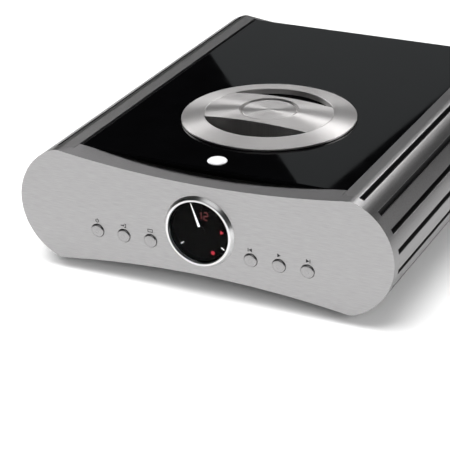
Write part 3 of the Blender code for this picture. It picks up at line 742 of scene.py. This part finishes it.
# ======== buttons and their signs
def make_buttons():
    profile = [(0, 1.55), (2.5, 1.52), (4.3, 1.42), (4.8, 1.34), (5.2, 1.16), (5.5, 0.86), (5.66, 0.5),
               (5.7, 0.1), (5.7, -2.1), (5.5, -2.2), (2.2, -2.2), (2.2, -20.0), (0, -20.0)]
    for name in BUTTONS:
        centre = extent("button_" + name)[2]
        button = lathe("cap_" + name, mm(profile), [mat["button"]], (centre.x, FRONT, centre.z), "front", 72)
        show(button, "button_" + name, "turned_aluminium", "button_" + name)
        make_sign(name, centre.x, centre.z + 8.9 * MM)


def signs():
    """Generic picture signs, in millimetres around their middle."""
    play = [(-1.0, -1.2), (-1.0, 1.2), (1.2, 0.0)]
    power_ring = arc((0, 0), 1.3, math.radians(130), math.radians(410), 20)
    power_ring += arc((0, 0), 0.8, math.radians(410), math.radians(130), 20)
    bar_up = [(-0.25, 0.1), (0.25, 0.1), (0.25, 1.5), (-0.25, 1.5)]
    arrow = [(-1.9, -0.28), (-0.3, -0.28), (-0.3, -0.8), (0.7, 0.0), (-0.3, 0.8), (-0.3, 0.28), (-1.9, 0.28)]
    bracket = [(0.5, -1.3), (1.8, -1.3), (1.8, 1.3), (0.5, 1.3), (0.5, 0.85), (1.3, 0.85), (1.3, -0.85),
               (0.5, -0.85)]
    screen = [(-1.8, -1.1), (1.8, -1.1), (1.8, 1.1), (-1.8, 1.1), (-1.8, 0.65), (1.35, 0.65), (1.35, -0.65),
              (-1.35, -0.65), (-1.35, 0.65), (-1.8, 0.65)]
    stop_bar = [(1.3, -1.2), (1.8, -1.2), (1.8, 1.2), (1.3, 1.2)]
    forward = [play, stop_bar]
    back = [[(-x, z) for x, z in shape] for shape in forward]
    return {"standby": [power_ring, bar_up], "input": [arrow, bracket], "display": [screen],
            "previous": back, "play": [play], "next": forward}


SIGNS = signs()


def make_sign(name, x, z):
    grow = 1.3 * MM
    pieces = [prism("sign", [(px * grow, pz * grow) for px, pz in shape], -0.05 * MM, 0.05 * MM, [mat["ink"]],
                    (x, FRONT, z)) for shape in SIGNS[name]]
    show(join("sign_" + name, pieces), "chassis", "satin_black")


# ======== disc lid
def dome(radius):
    return CROWN - DOME_RADIUS + math.sqrt(DOME_RADIUS ** 2 - radius ** 2)


def dome_line(inner, outer, count):
    return [(inner + (outer - inner) * i / count, dome(inner + (outer - inner) * i / count))
            for i in range(count + 1)]


def make_lid():
    base = LID_LOW.z - MID
    edge = 0.45 * MM
    top = dome_line(LID_HOLE + edge, LID_RADIUS - edge, 16)
    outer = arc((LID_RADIUS - edge, dome(LID_RADIUS - edge) - edge), edge, math.pi / 2, 0, 4)
    inner = arc((LID_HOLE + edge, dome(LID_HOLE + edge) - edge), edge, math.pi, math.pi / 2, 4)
    profile = inner[:-1] + top + outer[1:] + [(LID_RADIUS, base + 0.3 * MM), (LID_RADIUS - 0.4 * MM, base),
                                              (LID_HOLE, base)]
    ring = lathe("lid_rim", profile, [mat["turned"]], LID, steps=192, closed=True)
    show(ring, "lid", "turned_aluminium", "lid_ring")
    make_grip(0.12 * MM)
    make_cap()
    make_liner()
    make_clamp()


def make_cap():
    """The round cap in the grip's dish."""
    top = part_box("lid_knob")[1].z - MID
    profile = [(0, top), (KNOB_RADIUS * 0.6, top - 0.08 * MM)]
    profile += arc((KNOB_RADIUS - 0.8 * MM, top - 1.1 * MM), 0.8 * MM, math.pi / 2, 0, 6)
    profile += [(KNOB_RADIUS, DISH_FLOOR + 0.3 * MM), (0, DISH_FLOOR + 0.3 * MM)]
    show(lathe("lid_cap", profile, [mat["knob"]], LID, steps=128), "lid", "turned_aluminium", "lid_knob")


def make_liner():
    """The black dish under the grip."""
    low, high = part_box("lid_liner")
    radius = (high.x - low.x) / 2
    floor, under, rim = GRIP_BOTTOM - 0.3 * MM, low.z - MID, high.z - MID
    wall, hole = 1.5 * MM, 3.2 * MM
    profile = rounded([(radius, rim), (radius, under), (hole, under), (hole, floor), (radius - wall, floor),
                       (radius - wall, rim)], mm([0.3, 1.2, 0.2, 0.2, 1.5, 0.3]), 4)
    tray = lathe("lid_tray", profile, [mat["tray"]], LID, steps=128, closed=True)
    show(tray, "lid", "satin_black", "lid_liner")


def make_clamp():
    """The puck that holds the disc down."""
    low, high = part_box("clamp_puck")
    bottom, top = low.z - MID, high.z - MID
    plate, stem = top - 1.4 * MM, 2.6 * MM
    profile = rounded([(0, top), (stem, top), (stem, plate), (14 * MM, plate), (14 * MM, bottom),
                       (11 * MM, bottom), (10.5 * MM, bottom + 0.4 * MM), (0, bottom + 0.4 * MM)],
                      mm([0, 0.2, 0.1, 0.5, 0.3, 0.1, 0.1, 0]), 3, closed=False)
    clamp = lathe("disc_clamp", profile, [mat["satin"]], LID, steps=96)
    show(clamp, "clamp_puck", "satin_black", "clamp_puck")


def make_grip(seam):
    """Domed bar across the lid, with slightly bowed sides and a round dish for the cap."""
    radius = LID_HOLE - seam
    edge = 0.3 * MM
    profile = dome_line(0.0, radius - edge, 24)
    profile += arc((radius - edge, dome(radius - edge) - edge), edge, math.pi / 2, 0, 3)[1:]
    profile += [(radius, GRIP_BOTTOM), (0, GRIP_BOTTOM)]
    grip = lathe("grip_bar", profile, [mat["turned"]], LID, steps=192)
    bow = 1.4 * MM
    half = 60 * MM
    bow_radius = (half ** 2 + bow ** 2) / (2 * bow)
    angle = math.asin(half / bow_radius)
    line = arc((0.0, GRIP_HALF + bow * 0.8 - bow_radius), bow_radius, math.pi / 2 - angle,
               math.pi / 2 + angle, 24)
    line += mm([(-70, 70), (70, 70)])
    cutters = [prism("finger_cut", [(x, side * y) for x, y in line], 30 * MM, 60 * MM, [], LID, upright=True)
               for side in (1, -1)]
    middle = (LID.x, LID.y, MID + DISH_FLOOR + 10 * MM)
    cutters.append(cylinder_cutter(DISH_RADIUS, middle, 20 * MM, "up", 128))
    cut(grip, *cutters)
    soften(grip, 0.3 * MM, 2, 45)
    show(grip, "lid", "turned_aluminium", "lid_grip")


# ======== under the lid
def make_drive():
    make_well()
    make_platter()
    make_lens()


def make_well():
    """The dish for the disc, with the slot that the lens travels along."""
    low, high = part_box("disc_well")
    rim, under = high.z - MID, low.z - MID
    floor, wall, hole = 29 * MM, 64.5 * MM, 17 * MM
    profile = rounded([(WELL_RADIUS, rim), (69 * MM, rim), (69 * MM, rim - 1.5 * MM), (wall, rim - 1.5 * MM),
                       (wall, under), (hole, under), (hole, floor), (20 * MM, floor), (60.6 * MM, floor),
                       (WELL_RADIUS, floor + 0.6 * MM)],
                      mm([0.2, 0.2, 0.2, 0.5, 1, 0.2, 0.5, 0, 1, 1.5]), 3)
    well = lathe("well_dish", profile, [mat["satin"]], LID, steps=128, closed=True)
    slot = block("lens_slot", (LID.x + 11.5 * MM, LID.y - 10 * MM, MID + under - 5 * MM),
                 (LID.x + 61.5 * MM, LID.y + 10 * MM, MID + floor + 1 * MM), [])
    cut(well, slot)
    soften(well, 0.25 * MM, 2, 50)
    show(well, "chassis", "satin_black", "disc_well")


def make_platter():
    """The motor's table, with a cone for the disc's hole and a shaft below."""
    low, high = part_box("spindle_platter")
    top, hub, shaft = high.z - MID - 1.1 * MM, high.z - MID, low.z - MID
    table, under, rod = 15 * MM, top - 1.8 * MM, 1.5 * MM
    profile = rounded([(0, hub - 0.5 * MM), (2.0 * MM, hub - 0.5 * MM), (2.4 * MM, hub), (6.2 * MM, hub),
                       (7.3 * MM, top), (9.5 * MM, top - 0.4 * MM), (14 * MM, top), (table, top),
                       (table, under), (rod, under), (rod, shaft), (0, shaft)],
                      mm([0, 0.2, 0.2, 0.5, 0.2, 0.2, 0.1, 0.3, 0.3, 0, 0.2, 0]), 3, closed=False)
    platter = lathe("platter", profile, [mat["satin"]], LID, steps=96)
    show(platter, "spindle_platter", "satin_black", "spindle_platter")


def make_lens():
    """A small domed lens in its black holder."""
    low, high, centre = extent("laser_lens")
    top, bottom = high.z - centre.z, low.z - centre.z
    profile = [(1.9 * MM * math.sin(math.radians(a)), top - 0.6 * MM + 0.6 * MM * math.cos(math.radians(a)))
               for a in range(0, 91, 15)]
    profile += [(2.0 * MM, top - 0.9 * MM), (3.4 * MM, top - 1.3 * MM), (4.0 * MM, top - 1.7 * MM),
                (4.0 * MM, bottom), (0, bottom)]
    slots = [0] * 6 + [1] * (len(profile) - 7)
    lens = lathe("pickup_lens", profile, [mat["lens"], mat["satin"]], centre, steps=64, slots=slots)
    show(lens, "laser_sled", "lens_glass", "laser_lens")


# ======== rear and underside
def stadium_outline():
    """The rear panel: the case outline with its hollow top and bottom edges."""
    angle = math.asin(math.sqrt(SCOOP_RADIUS ** 2 - (SCOOP_RADIUS - (RAIL_TOP - WAIST)) ** 2) / SCOOP_RADIUS)
    hollow = arc((0, WAIST + SCOOP_RADIUS), SCOOP_RADIUS, -math.pi / 2, -math.pi / 2 + angle, 40)
    corner = [p for p in upper_right(RAIL_X) if p[0] > hollow[-1][0]]
    end = arc((END_X, 0), END_RADIUS, top_corner()[1], 0, 40)[1:]
    quarter = hollow + corner + end
    right = quarter + [(x, -z) for x, z in reversed(quarter[:-1])]
    return right + [(-x, z) for x, z in reversed(right[1:-1])]


def about(centre, half_x, half_z, near, far):
    """Corners of a box about a centre on the rear panel, from one depth to another."""
    return (centre.x - half_x, near, centre.z - half_z), (centre.x + half_x, far, centre.z + half_z)


def make_rear():
    panel = prism("back_plate", stadium_outline(), 0.0, REAR - REAR_FACE, [mat["painted"]],
                  (0, REAR_FACE, MID))
    cutters = []
    for name, radius in (("xlr_left", 11.8), ("xlr_right", 11.8), ("rca_left", 5.3), ("rca_right", 5.3),
                         ("coax_in", 5.3), ("coax_out", 5.3)):
        centre = extent(name)[2]
        cutters.append(cylinder_cutter(radius * MM, (centre.x, REAR, centre.z), 20 * MM, steps=48))
    openings = (("optical_in", 5.3, 5.3), ("mains_inlet", 14.3, 19.3), ("switch_frame", 6.8, 11.3))
    for name, half_x, half_z in openings:
        corners = about(extent(name)[2], half_x * MM, half_z * MM, REAR - 0.01, REAR + 0.01)
        cutters.append(block("hole", *corners, []))
    cut(panel, *cutters)
    soften(panel, 0.4 * MM, 2, 40)
    show(panel, "chassis", "finned_aluminium", "rear_panel")
    places = [(x, z) for x in (-104, 104) for z in (-34, 34)] + [(-20, 31), (-20, -31), (140, 0), (-140, 0)]
    screws = [screw_head("screw", (x * MM, REAR, MID + z * MM), "rear", mat["steel"]) for x, z in places]
    show(join("rear_screws", screws), "chassis", "bright_steel")


def frame_line(name, low_x, high_x, low_z, high_z):
    """A printed box around a group of sockets."""
    half = 0.25 * MM
    outer = [(low_x, low_z), (high_x, low_z), (high_x, high_z), (low_x, high_z)]
    strips = []
    for (x0, z0), (x1, z1) in zip(outer, outer[1:] + outer[:1]):
        strips.append(block(name, (min(x0, x1) - half, REAR, min(z0, z1) - half),
                            (max(x0, x1) + half, REAR + 0.05 * MM, max(z0, z1) + half), [mat["pale_ink"]]))
    return strips


def make_sockets():
    make_xlr("xlr_left")
    make_xlr("xlr_right")
    for name, colour in (("rca_left", "pale_ink"), ("rca_right", "red_ring"), ("coax_in", "dark_ring"),
                         ("coax_out", "dark_ring")):
        make_rca(name, colour)
    make_optical()
    strips = []
    groups = (("xlr_left", "xlr_right", 4, 3), ("rca_left", "rca_right", 5, 4), ("coax_in", "coax_out", 4, 3))
    for first, second, aside, above in groups:
        (a_low, a_high), (b_low, b_high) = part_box(first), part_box(second)
        strips += frame_line("socket_frame", min(a_low.x, b_low.x) - aside * MM,
                             max(a_high.x, b_high.x) + aside * MM, min(a_low.z, b_low.z) - above * MM,
                             max(a_high.z, b_high.z) + above * MM)
    show(join("socket_frames", strips), "chassis", "satin_black")


def make_optical():
    low, high, centre = extent("optical_in")
    shell = block("optical_shell", (low.x, REAR + SEAM, low.z), high, [mat["satin"]], 0.5 * MM)
    corners = about(centre, 5 * MM, 5 * MM, low.y, REAR + 0.5 * MM)
    body = block("optical_body", *corners, [mat["satin"]], 0.3 * MM)
    for piece in (shell, body):
        cut(piece, block("mouth", *about(centre, 3.2 * MM, 3.2 * MM, REAR - 9 * MM, REAR + 9 * MM), []))
    soften(shell, 0.15 * MM, 2, 50)
    show(join("optical_socket", [shell, body]), "chassis", "satin_black", "optical_in")


def make_xlr(name):
    """A three-pin socket: round cup, gold pins and two screws."""
    low, high, centre = extent(name)
    centre.y = REAR
    back = low.y - REAR
    deep = back / MM
    profile = rounded([(9.5, 1.9), (13.5, 1.9), (13.5, 0.1), (11.5, 0.1), (11.5, deep), (0, deep),
                       (0, deep + 2), (9.5, deep + 2)], [0.5, 0.5, 0.1, 0.1, 0.3, 0, 0, 0.6], 3)
    cup = lathe("cup", mm(profile), [mat["satin"]], centre, "rear", 96, closed=True)
    pin = mm([(0, -2.0), (0.7, -2.3), (1.15, -3.2), (1.15, deep + 1.9), (0, deep + 1.9)])
    pins = []
    for angle in (90, 210, 330):
        x, z = 3.6 * math.cos(math.radians(angle)), 3.6 * math.sin(math.radians(angle))
        pins.append(lathe("pin", pin, [mat["gold"]], centre + Vector((x * MM, 0, z * MM)), "rear", 20))
    screws = [screw_head("screw", centre + Vector((side * 10.2 * MM, 1.9 * MM, -side * 4.5 * MM)), "rear",
                         mat["steel"], 1.6 * MM) for side in (1, -1)]
    show(join(name + "_socket", [cup, *pins, *screws]), "chassis", "satin_black", name)


def make_rca(name, colour):
    """A gold phono socket with a coloured washer."""
    low, high, centre = extent(name)
    centre.y = REAR
    tip, back = (high.y - REAR) / MM, (low.y - REAR) / MM
    profile = rounded([(2.0, tip), (4.2, tip), (4.2, 2.6), (6.5, 2.6), (6.5, 0.8), (5.0, 0.8), (5.0, back),
                       (0, back), (0, 1.6), (2.0, 1.6)], [0.2, 0.4, 0.2, 0.5, 0.1, 0.1, 0.3, 0, 0, 0.1], 3)
    barrel = lathe("barrel", mm(profile), [mat["gold"]], centre, "rear", 64, closed=True)
    profile = rounded([(4.4, 0.75), (7.4, 0.75), (7.4, 0.05), (4.4, 0.05)], 0.2, 2)
    washer = lathe("washer", mm(profile), [mat[colour]], centre, "rear", 64, closed=True)
    show(join(name + "_socket", [barrel, washer]), "chassis", "gold_plate", name)


def make_mains():
    """The mains inlet, open for its plug and for the fuse drawer below."""
    low, high, centre = extent("mains_inlet")
    face = block("face", (low.x, REAR + SEAM, low.z), (high.x, high.y, high.z), [mat["satin"]], 0.8 * MM)
    body = block("body", *about(centre, 14 * MM, 19 * MM, low.y, REAR + 0.6 * MM), [mat["satin"]], 0.4 * MM)
    w, h, slope = 12.3 * MM, 8.3 * MM, 4.5 * MM
    plug = Vector((centre.x, 0, centre.z + 6.5 * MM))
    outline = [(-w, -h), (w, -h), (w, h - slope), (w - slope, h), (-w + slope, h), (-w, h - slope)]
    bay_low, bay_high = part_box("fuse_drawer")
    gap = 0.3 * MM
    for piece in (face, body):
        mouth = prism("mouth", rounded(outline, 0.8 * MM, 4), REAR - 16 * MM, REAR + 14 * MM, [], plug)
        bay = block("bay", (bay_low.x - gap, bay_low.y - 1 * MM, bay_low.z - gap),
                    (bay_high.x + gap, REAR + 0.02, bay_high.z + gap), [])
        cut(piece, mouth, bay)
    soften(face, 0.2 * MM, 2, 50)
    pins = []
    for x, z in mm([(-7, -1.5), (7, -1.5), (0, 3.0)]):
        corners = about(plug + Vector((x, 0, z)), 2.0 * MM, 1.0 * MM, REAR - 16 * MM, REAR - 3 * MM)
        pins.append(block("pin", *corners, [mat["zinc"]], 0.35 * MM))
    screws = [screw_head("screw", (centre.x, high.y, centre.z + side * 20.6 * MM), "rear", mat["steel"],
                         1.6 * MM) for side in (1, -1)]
    show(join("mains_socket", [face, body, *pins, *screws]), "chassis", "satin_black", "mains_inlet")
    make_drawer()
    make_switch()
    make_rocker()


def make_drawer():
    """The fuse drawer, with a notch for a fingernail in its top edge."""
    low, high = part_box("fuse_drawer")
    drawer = block("drawer", low, high, [mat["satin"]], 0.4 * MM)
    notch = block("notch", (low.x + 6 * MM, high.y - 0.5 * MM, high.z - 1.6 * MM),
                  (high.x - 6 * MM, high.y + 2 * MM, high.z + 1 * MM), [])
    cut(drawer, notch)
    show(drawer, "fuse_drawer", "satin_black", "fuse_drawer")


def make_switch():
    """The rocker's housing."""
    low, high, centre = extent("switch_frame")
    face = block("face", (low.x, REAR + SEAM, low.z), (high.x, high.y, high.z), [mat["satin"]], 0.7 * MM)
    body = block("body", *about(centre, 6.5 * MM, 11 * MM, low.y, REAR + 0.6 * MM), [mat["satin"]], 0.4 * MM)
    for piece in (face, body):
        cut(piece, block("mouth", *about(centre, 5.3 * MM, 9.8 * MM, REAR - 12.5 * MM, REAR + 0.02), []))
    soften(face, 0.2 * MM, 2, 50)
    show(join("switch_housing", [face, body]), "chassis", "satin_black", "switch_frame")


def make_rocker():
    """A key with two faces that meet in a valley, a line on the lower one and a ring on the upper one."""
    low, high, centre = extent("power_rocker")
    centre.y = REAR - 0.3 * MM
    radius, valley = 9.0 * MM, 2.6 * MM
    throw = math.radians(18)
    lower_end = math.sqrt(radius ** 2 - valley ** 2)
    slope = math.tan(throw)
    top_z = (-valley * slope + math.sqrt(radius ** 2 * (1 + slope ** 2) - valley ** 2)) / (1 + slope ** 2)
    start = math.atan2(top_z, valley + top_z * slope)
    skirt = arc((0, 0), radius, start, 2 * math.pi - math.atan2(lower_end, valley), 60)
    outline = [(-z, y) for y, z in [(valley, 0.0)] + skirt]
    outline = rounded(outline, [0.6 * MM, 0.5 * MM] + [0] * (len(skirt) - 2) + [0.5 * MM], 3)
    half = (high.x - low.x) / 2
    rocker = prism("rocker_key", outline, -half, half, [mat["satin"]])
    rocker.data.transform(Matrix(((0, 1, 0, 0), (0, 0, 1, 0), (-1, 0, 0, 0), (0, 0, 0, 1))))
    rocker.location = centre
    soften(rocker, 0.3 * MM, 2, 50)
    face = centre.y + valley
    line = block("mark", *about(centre - Vector((0, 0, 5.5 * MM)), 0.3 * MM, 1.5 * MM, face - 0.02 * MM,
                                face + 0.05 * MM), [mat["pale_ink"]])
    profile = mm([(1.5, 0.05), (1.5, -0.03), (1.0, -0.03), (1.0, 0.05)])
    ring = lathe("mark_ring", profile, [mat["pale_ink"]], (0, 0, 0), "rear", 40, closed=True)
    ring.rotation_euler = (throw - math.pi / 2, 0, 0)
    ring.location = centre + Vector((0, valley + 5.0 * MM * slope, 5.0 * MM))
    show(join("power_key", [rocker, line, ring]), "power_rocker", "satin_black", "power_rocker")


def make_underside():
    low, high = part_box("bottom_sheet")
    sheet = block("sheet", (low.x, low.y, low.z), (high.x, high.y, low.z + 2 * MM), [mat["painted"]])
    cutters = []
    for y in (FRONT + 0.105, FRONT + 0.255):
        for i in range(14):
            x = (-65 + i * 10) * MM
            cutters.append(block("vent", (x - 1.5 * MM, y - 14 * MM, low.z - 5 * MM),
                                 (x + 1.5 * MM, y + 14 * MM, low.z + 5 * MM), [], 1.2 * MM, 2))
    cut(sheet, *cutters)
    soften(sheet, 0.25 * MM, 2, 50)
    lips = [block("lip", (low.x + 4 * MM, y, low.z + 1.5 * MM), (high.x - 4 * MM, y + 2 * MM, high.z),
                  [mat["painted"]], 0.3 * MM) for y in (low.y + 0.3 * MM, high.y - 2.3 * MM)]
    show(join("base_sheet", [sheet, *lips]), "chassis", "sheet_steel", "bottom_sheet")
    screws = [screw_head("screw", (x * MM, FRONT + y * MM, low.z), "down", mat["steel"])
              for x in (-106, 106) for y in (30, 190, 346)]
    show(join("base_screws", screws), "chassis", "bright_steel")
    for name in ("foot_front_left", "foot_front_right", "foot_rear_left", "foot_rear_right"):
        make_foot(name)


def make_foot(name):
    low, high, centre = extent(name)
    top = high.z / MM
    profile = rounded([(0, top), (16, top), (16.6, top - 1.6), (18.6, 4.5), (19, 2.5), (18, 0), (8, 0),
                       (7, 2), (0, 2)], [0, 0.5, 0.5, 1, 1, 1.2, 0.5, 0.8, 0], 4, closed=False)
    foot = lathe(name + "_pad", mm(profile), [mat["rubber"]], (centre.x, centre.y, 0), steps=96)
    show(foot, "chassis", "rubber", name)


# ======== carried-over CAD nodes
KEPT = {"satin": ("laser_sled",), "zinc": ("needle_motor", "spindle_motor", "sled_motor"),
        "steel": ("guide_rod_front", "guide_rod_rear", "lead_screw", "transformer_clamp"),
        "painted": ("drive_bridge",), "sleeve": ("capacitor_1", "capacitor_2", "capacitor_3", "capacitor_4"),
        "board": ("dial_board", "button_board_left", "button_board_right", "servo_board", "power_board",
                  "audio_board"),
        "tape": ("toroid_transformer",)}


def finish_kept_nodes():
    for key, names in KEPT.items():
        for name in names:
            mesh = nodes[name].data
            mesh.materials.clear()
            mesh.materials.append(mat[key])
            shade(mesh)


# ======== stage, light and camera
def area_light(name, place, target, size, size_y, power, colour=(1, 1, 1)):
    """A soft panel. The boxes light only what mirrors them, and the fills are never mirrored."""
    data = bpy.data.lights.new(name, "AREA")
    data.shape = "RECTANGLE"
    data.size = size
    data.size_y = size_y
    data.energy = power
    data.color = colour
    light = link(bpy.data.objects.new(name, data))
    light.location = place
    light.rotation_euler = (Vector(target) - Vector(place)).to_track_quat("-Z", "Y").to_euler()
    light.visible_camera = False
    light.visible_diffuse = not name.endswith("_box")
    light.visible_glossy = not name.endswith("_fill")
    return light


BOXES = (("top_box", (0.45, -0.90, 2.4), 0, 2.2, 1.7, 13),
         ("back_box", (-0.80, 2.05, 2.1), 0.1, 2.2, 0.7, 19),
         ("rail_box", (0.28, 2.3, 1.72), 0.1, 0.75, 0.55, 11),
         ("low_box", (1.9, 2.3, 0.45), 0.1, 1.0, 0.5, 0.5),
         ("left_box", (-2.5, 0.9, 1.35), 0.1, 1.6, 1.0, 24),
         ("right_box", (2.5, 1.6, 1.45), 0.1, 1.6, 1.0, 24))
FILLS = (("top_fill", (-0.45, -0.5, 2.5), 2.8, 116),
         ("front_fill", (1.9, -2.7, 1.6), 1.4, 78),
         ("left_fill", (-3.2, -0.4, 1.3), 1.4, 12),
         ("right_fill", (2.8, -1.3, 2.1), 1.4, 20),
         ("back_fill", (0.4, 3.4, 1.5), 1.4, 8))


def make_lights():
    """Each box has its place, the height it looks at, two sizes and its power; a fill has one size."""
    for name, place, aim, size, size_y, power in BOXES:
        area_light(name, place, (0, 0, aim), size, size_y, power)
    card = area_light("panel_card", (-0.6, 1.66, 0.58), (0, 0, 0), 0.62, 0.52, 0.19, (0.93, 0.98, 1.0))
    card.rotation_euler = [math.radians(angle) for angle in (-67.61, 24.61, 59.86)]
    for name, place, height, power in FILLS:
        area_light(name, place, (0, 0, 0), 2.6, height, power)


def make_stage():
    bm = bmesh.new()
    bmesh.ops.create_grid(bm, x_segments=2, y_segments=2, size=9.0)
    floor = add_mesh("studio_floor", bm, [new_material("studio_paper", (0.93, 0.93, 0.93), 0.9)])
    world = bpy.data.worlds.new("studio")
    bpy.context.scene.world = world
    world.use_nodes = True
    background = world.node_tree.nodes["Background"]
    background.inputs["Color"].default_value = (1, 1, 1, 1)
    background.inputs["Strength"].default_value = 0.004
    bpy.context.scene.view_settings.view_transform = "Standard"


def make_camera():
    """The photo's view: from the right, a little above."""
    data = bpy.data.cameras.new("camera")
    data.sensor_width = 36
    data.lens = 142.4
    data.clip_start, data.clip_end = 0.05, 50
    camera = link(bpy.data.objects.new("camera", data))
    camera.location = (0.57317, FRONT - 1.11764, MID + 0.60066)
    azimuth, elevation, roll = math.radians(26.2317), math.radians(25.3908), math.radians(-1.2734)
    forward = Vector((-math.sin(azimuth) * math.cos(elevation), math.cos(azimuth) * math.cos(elevation),
                      -math.sin(elevation)))
    camera.rotation_euler = (forward.to_track_quat("-Z", "Y").to_matrix()
                             @ Matrix.Rotation(roll, 3, "Z")).to_euler()
    bpy.context.scene.camera = camera


make_front_plate()
make_sides()
make_top_panel()
make_dial()
make_needle()
make_buttons()
make_lid()
make_drive()
make_rear()
make_sockets()
make_mains()
make_underside()
finish_kept_nodes()
make_stage()
make_lights()
make_camera()
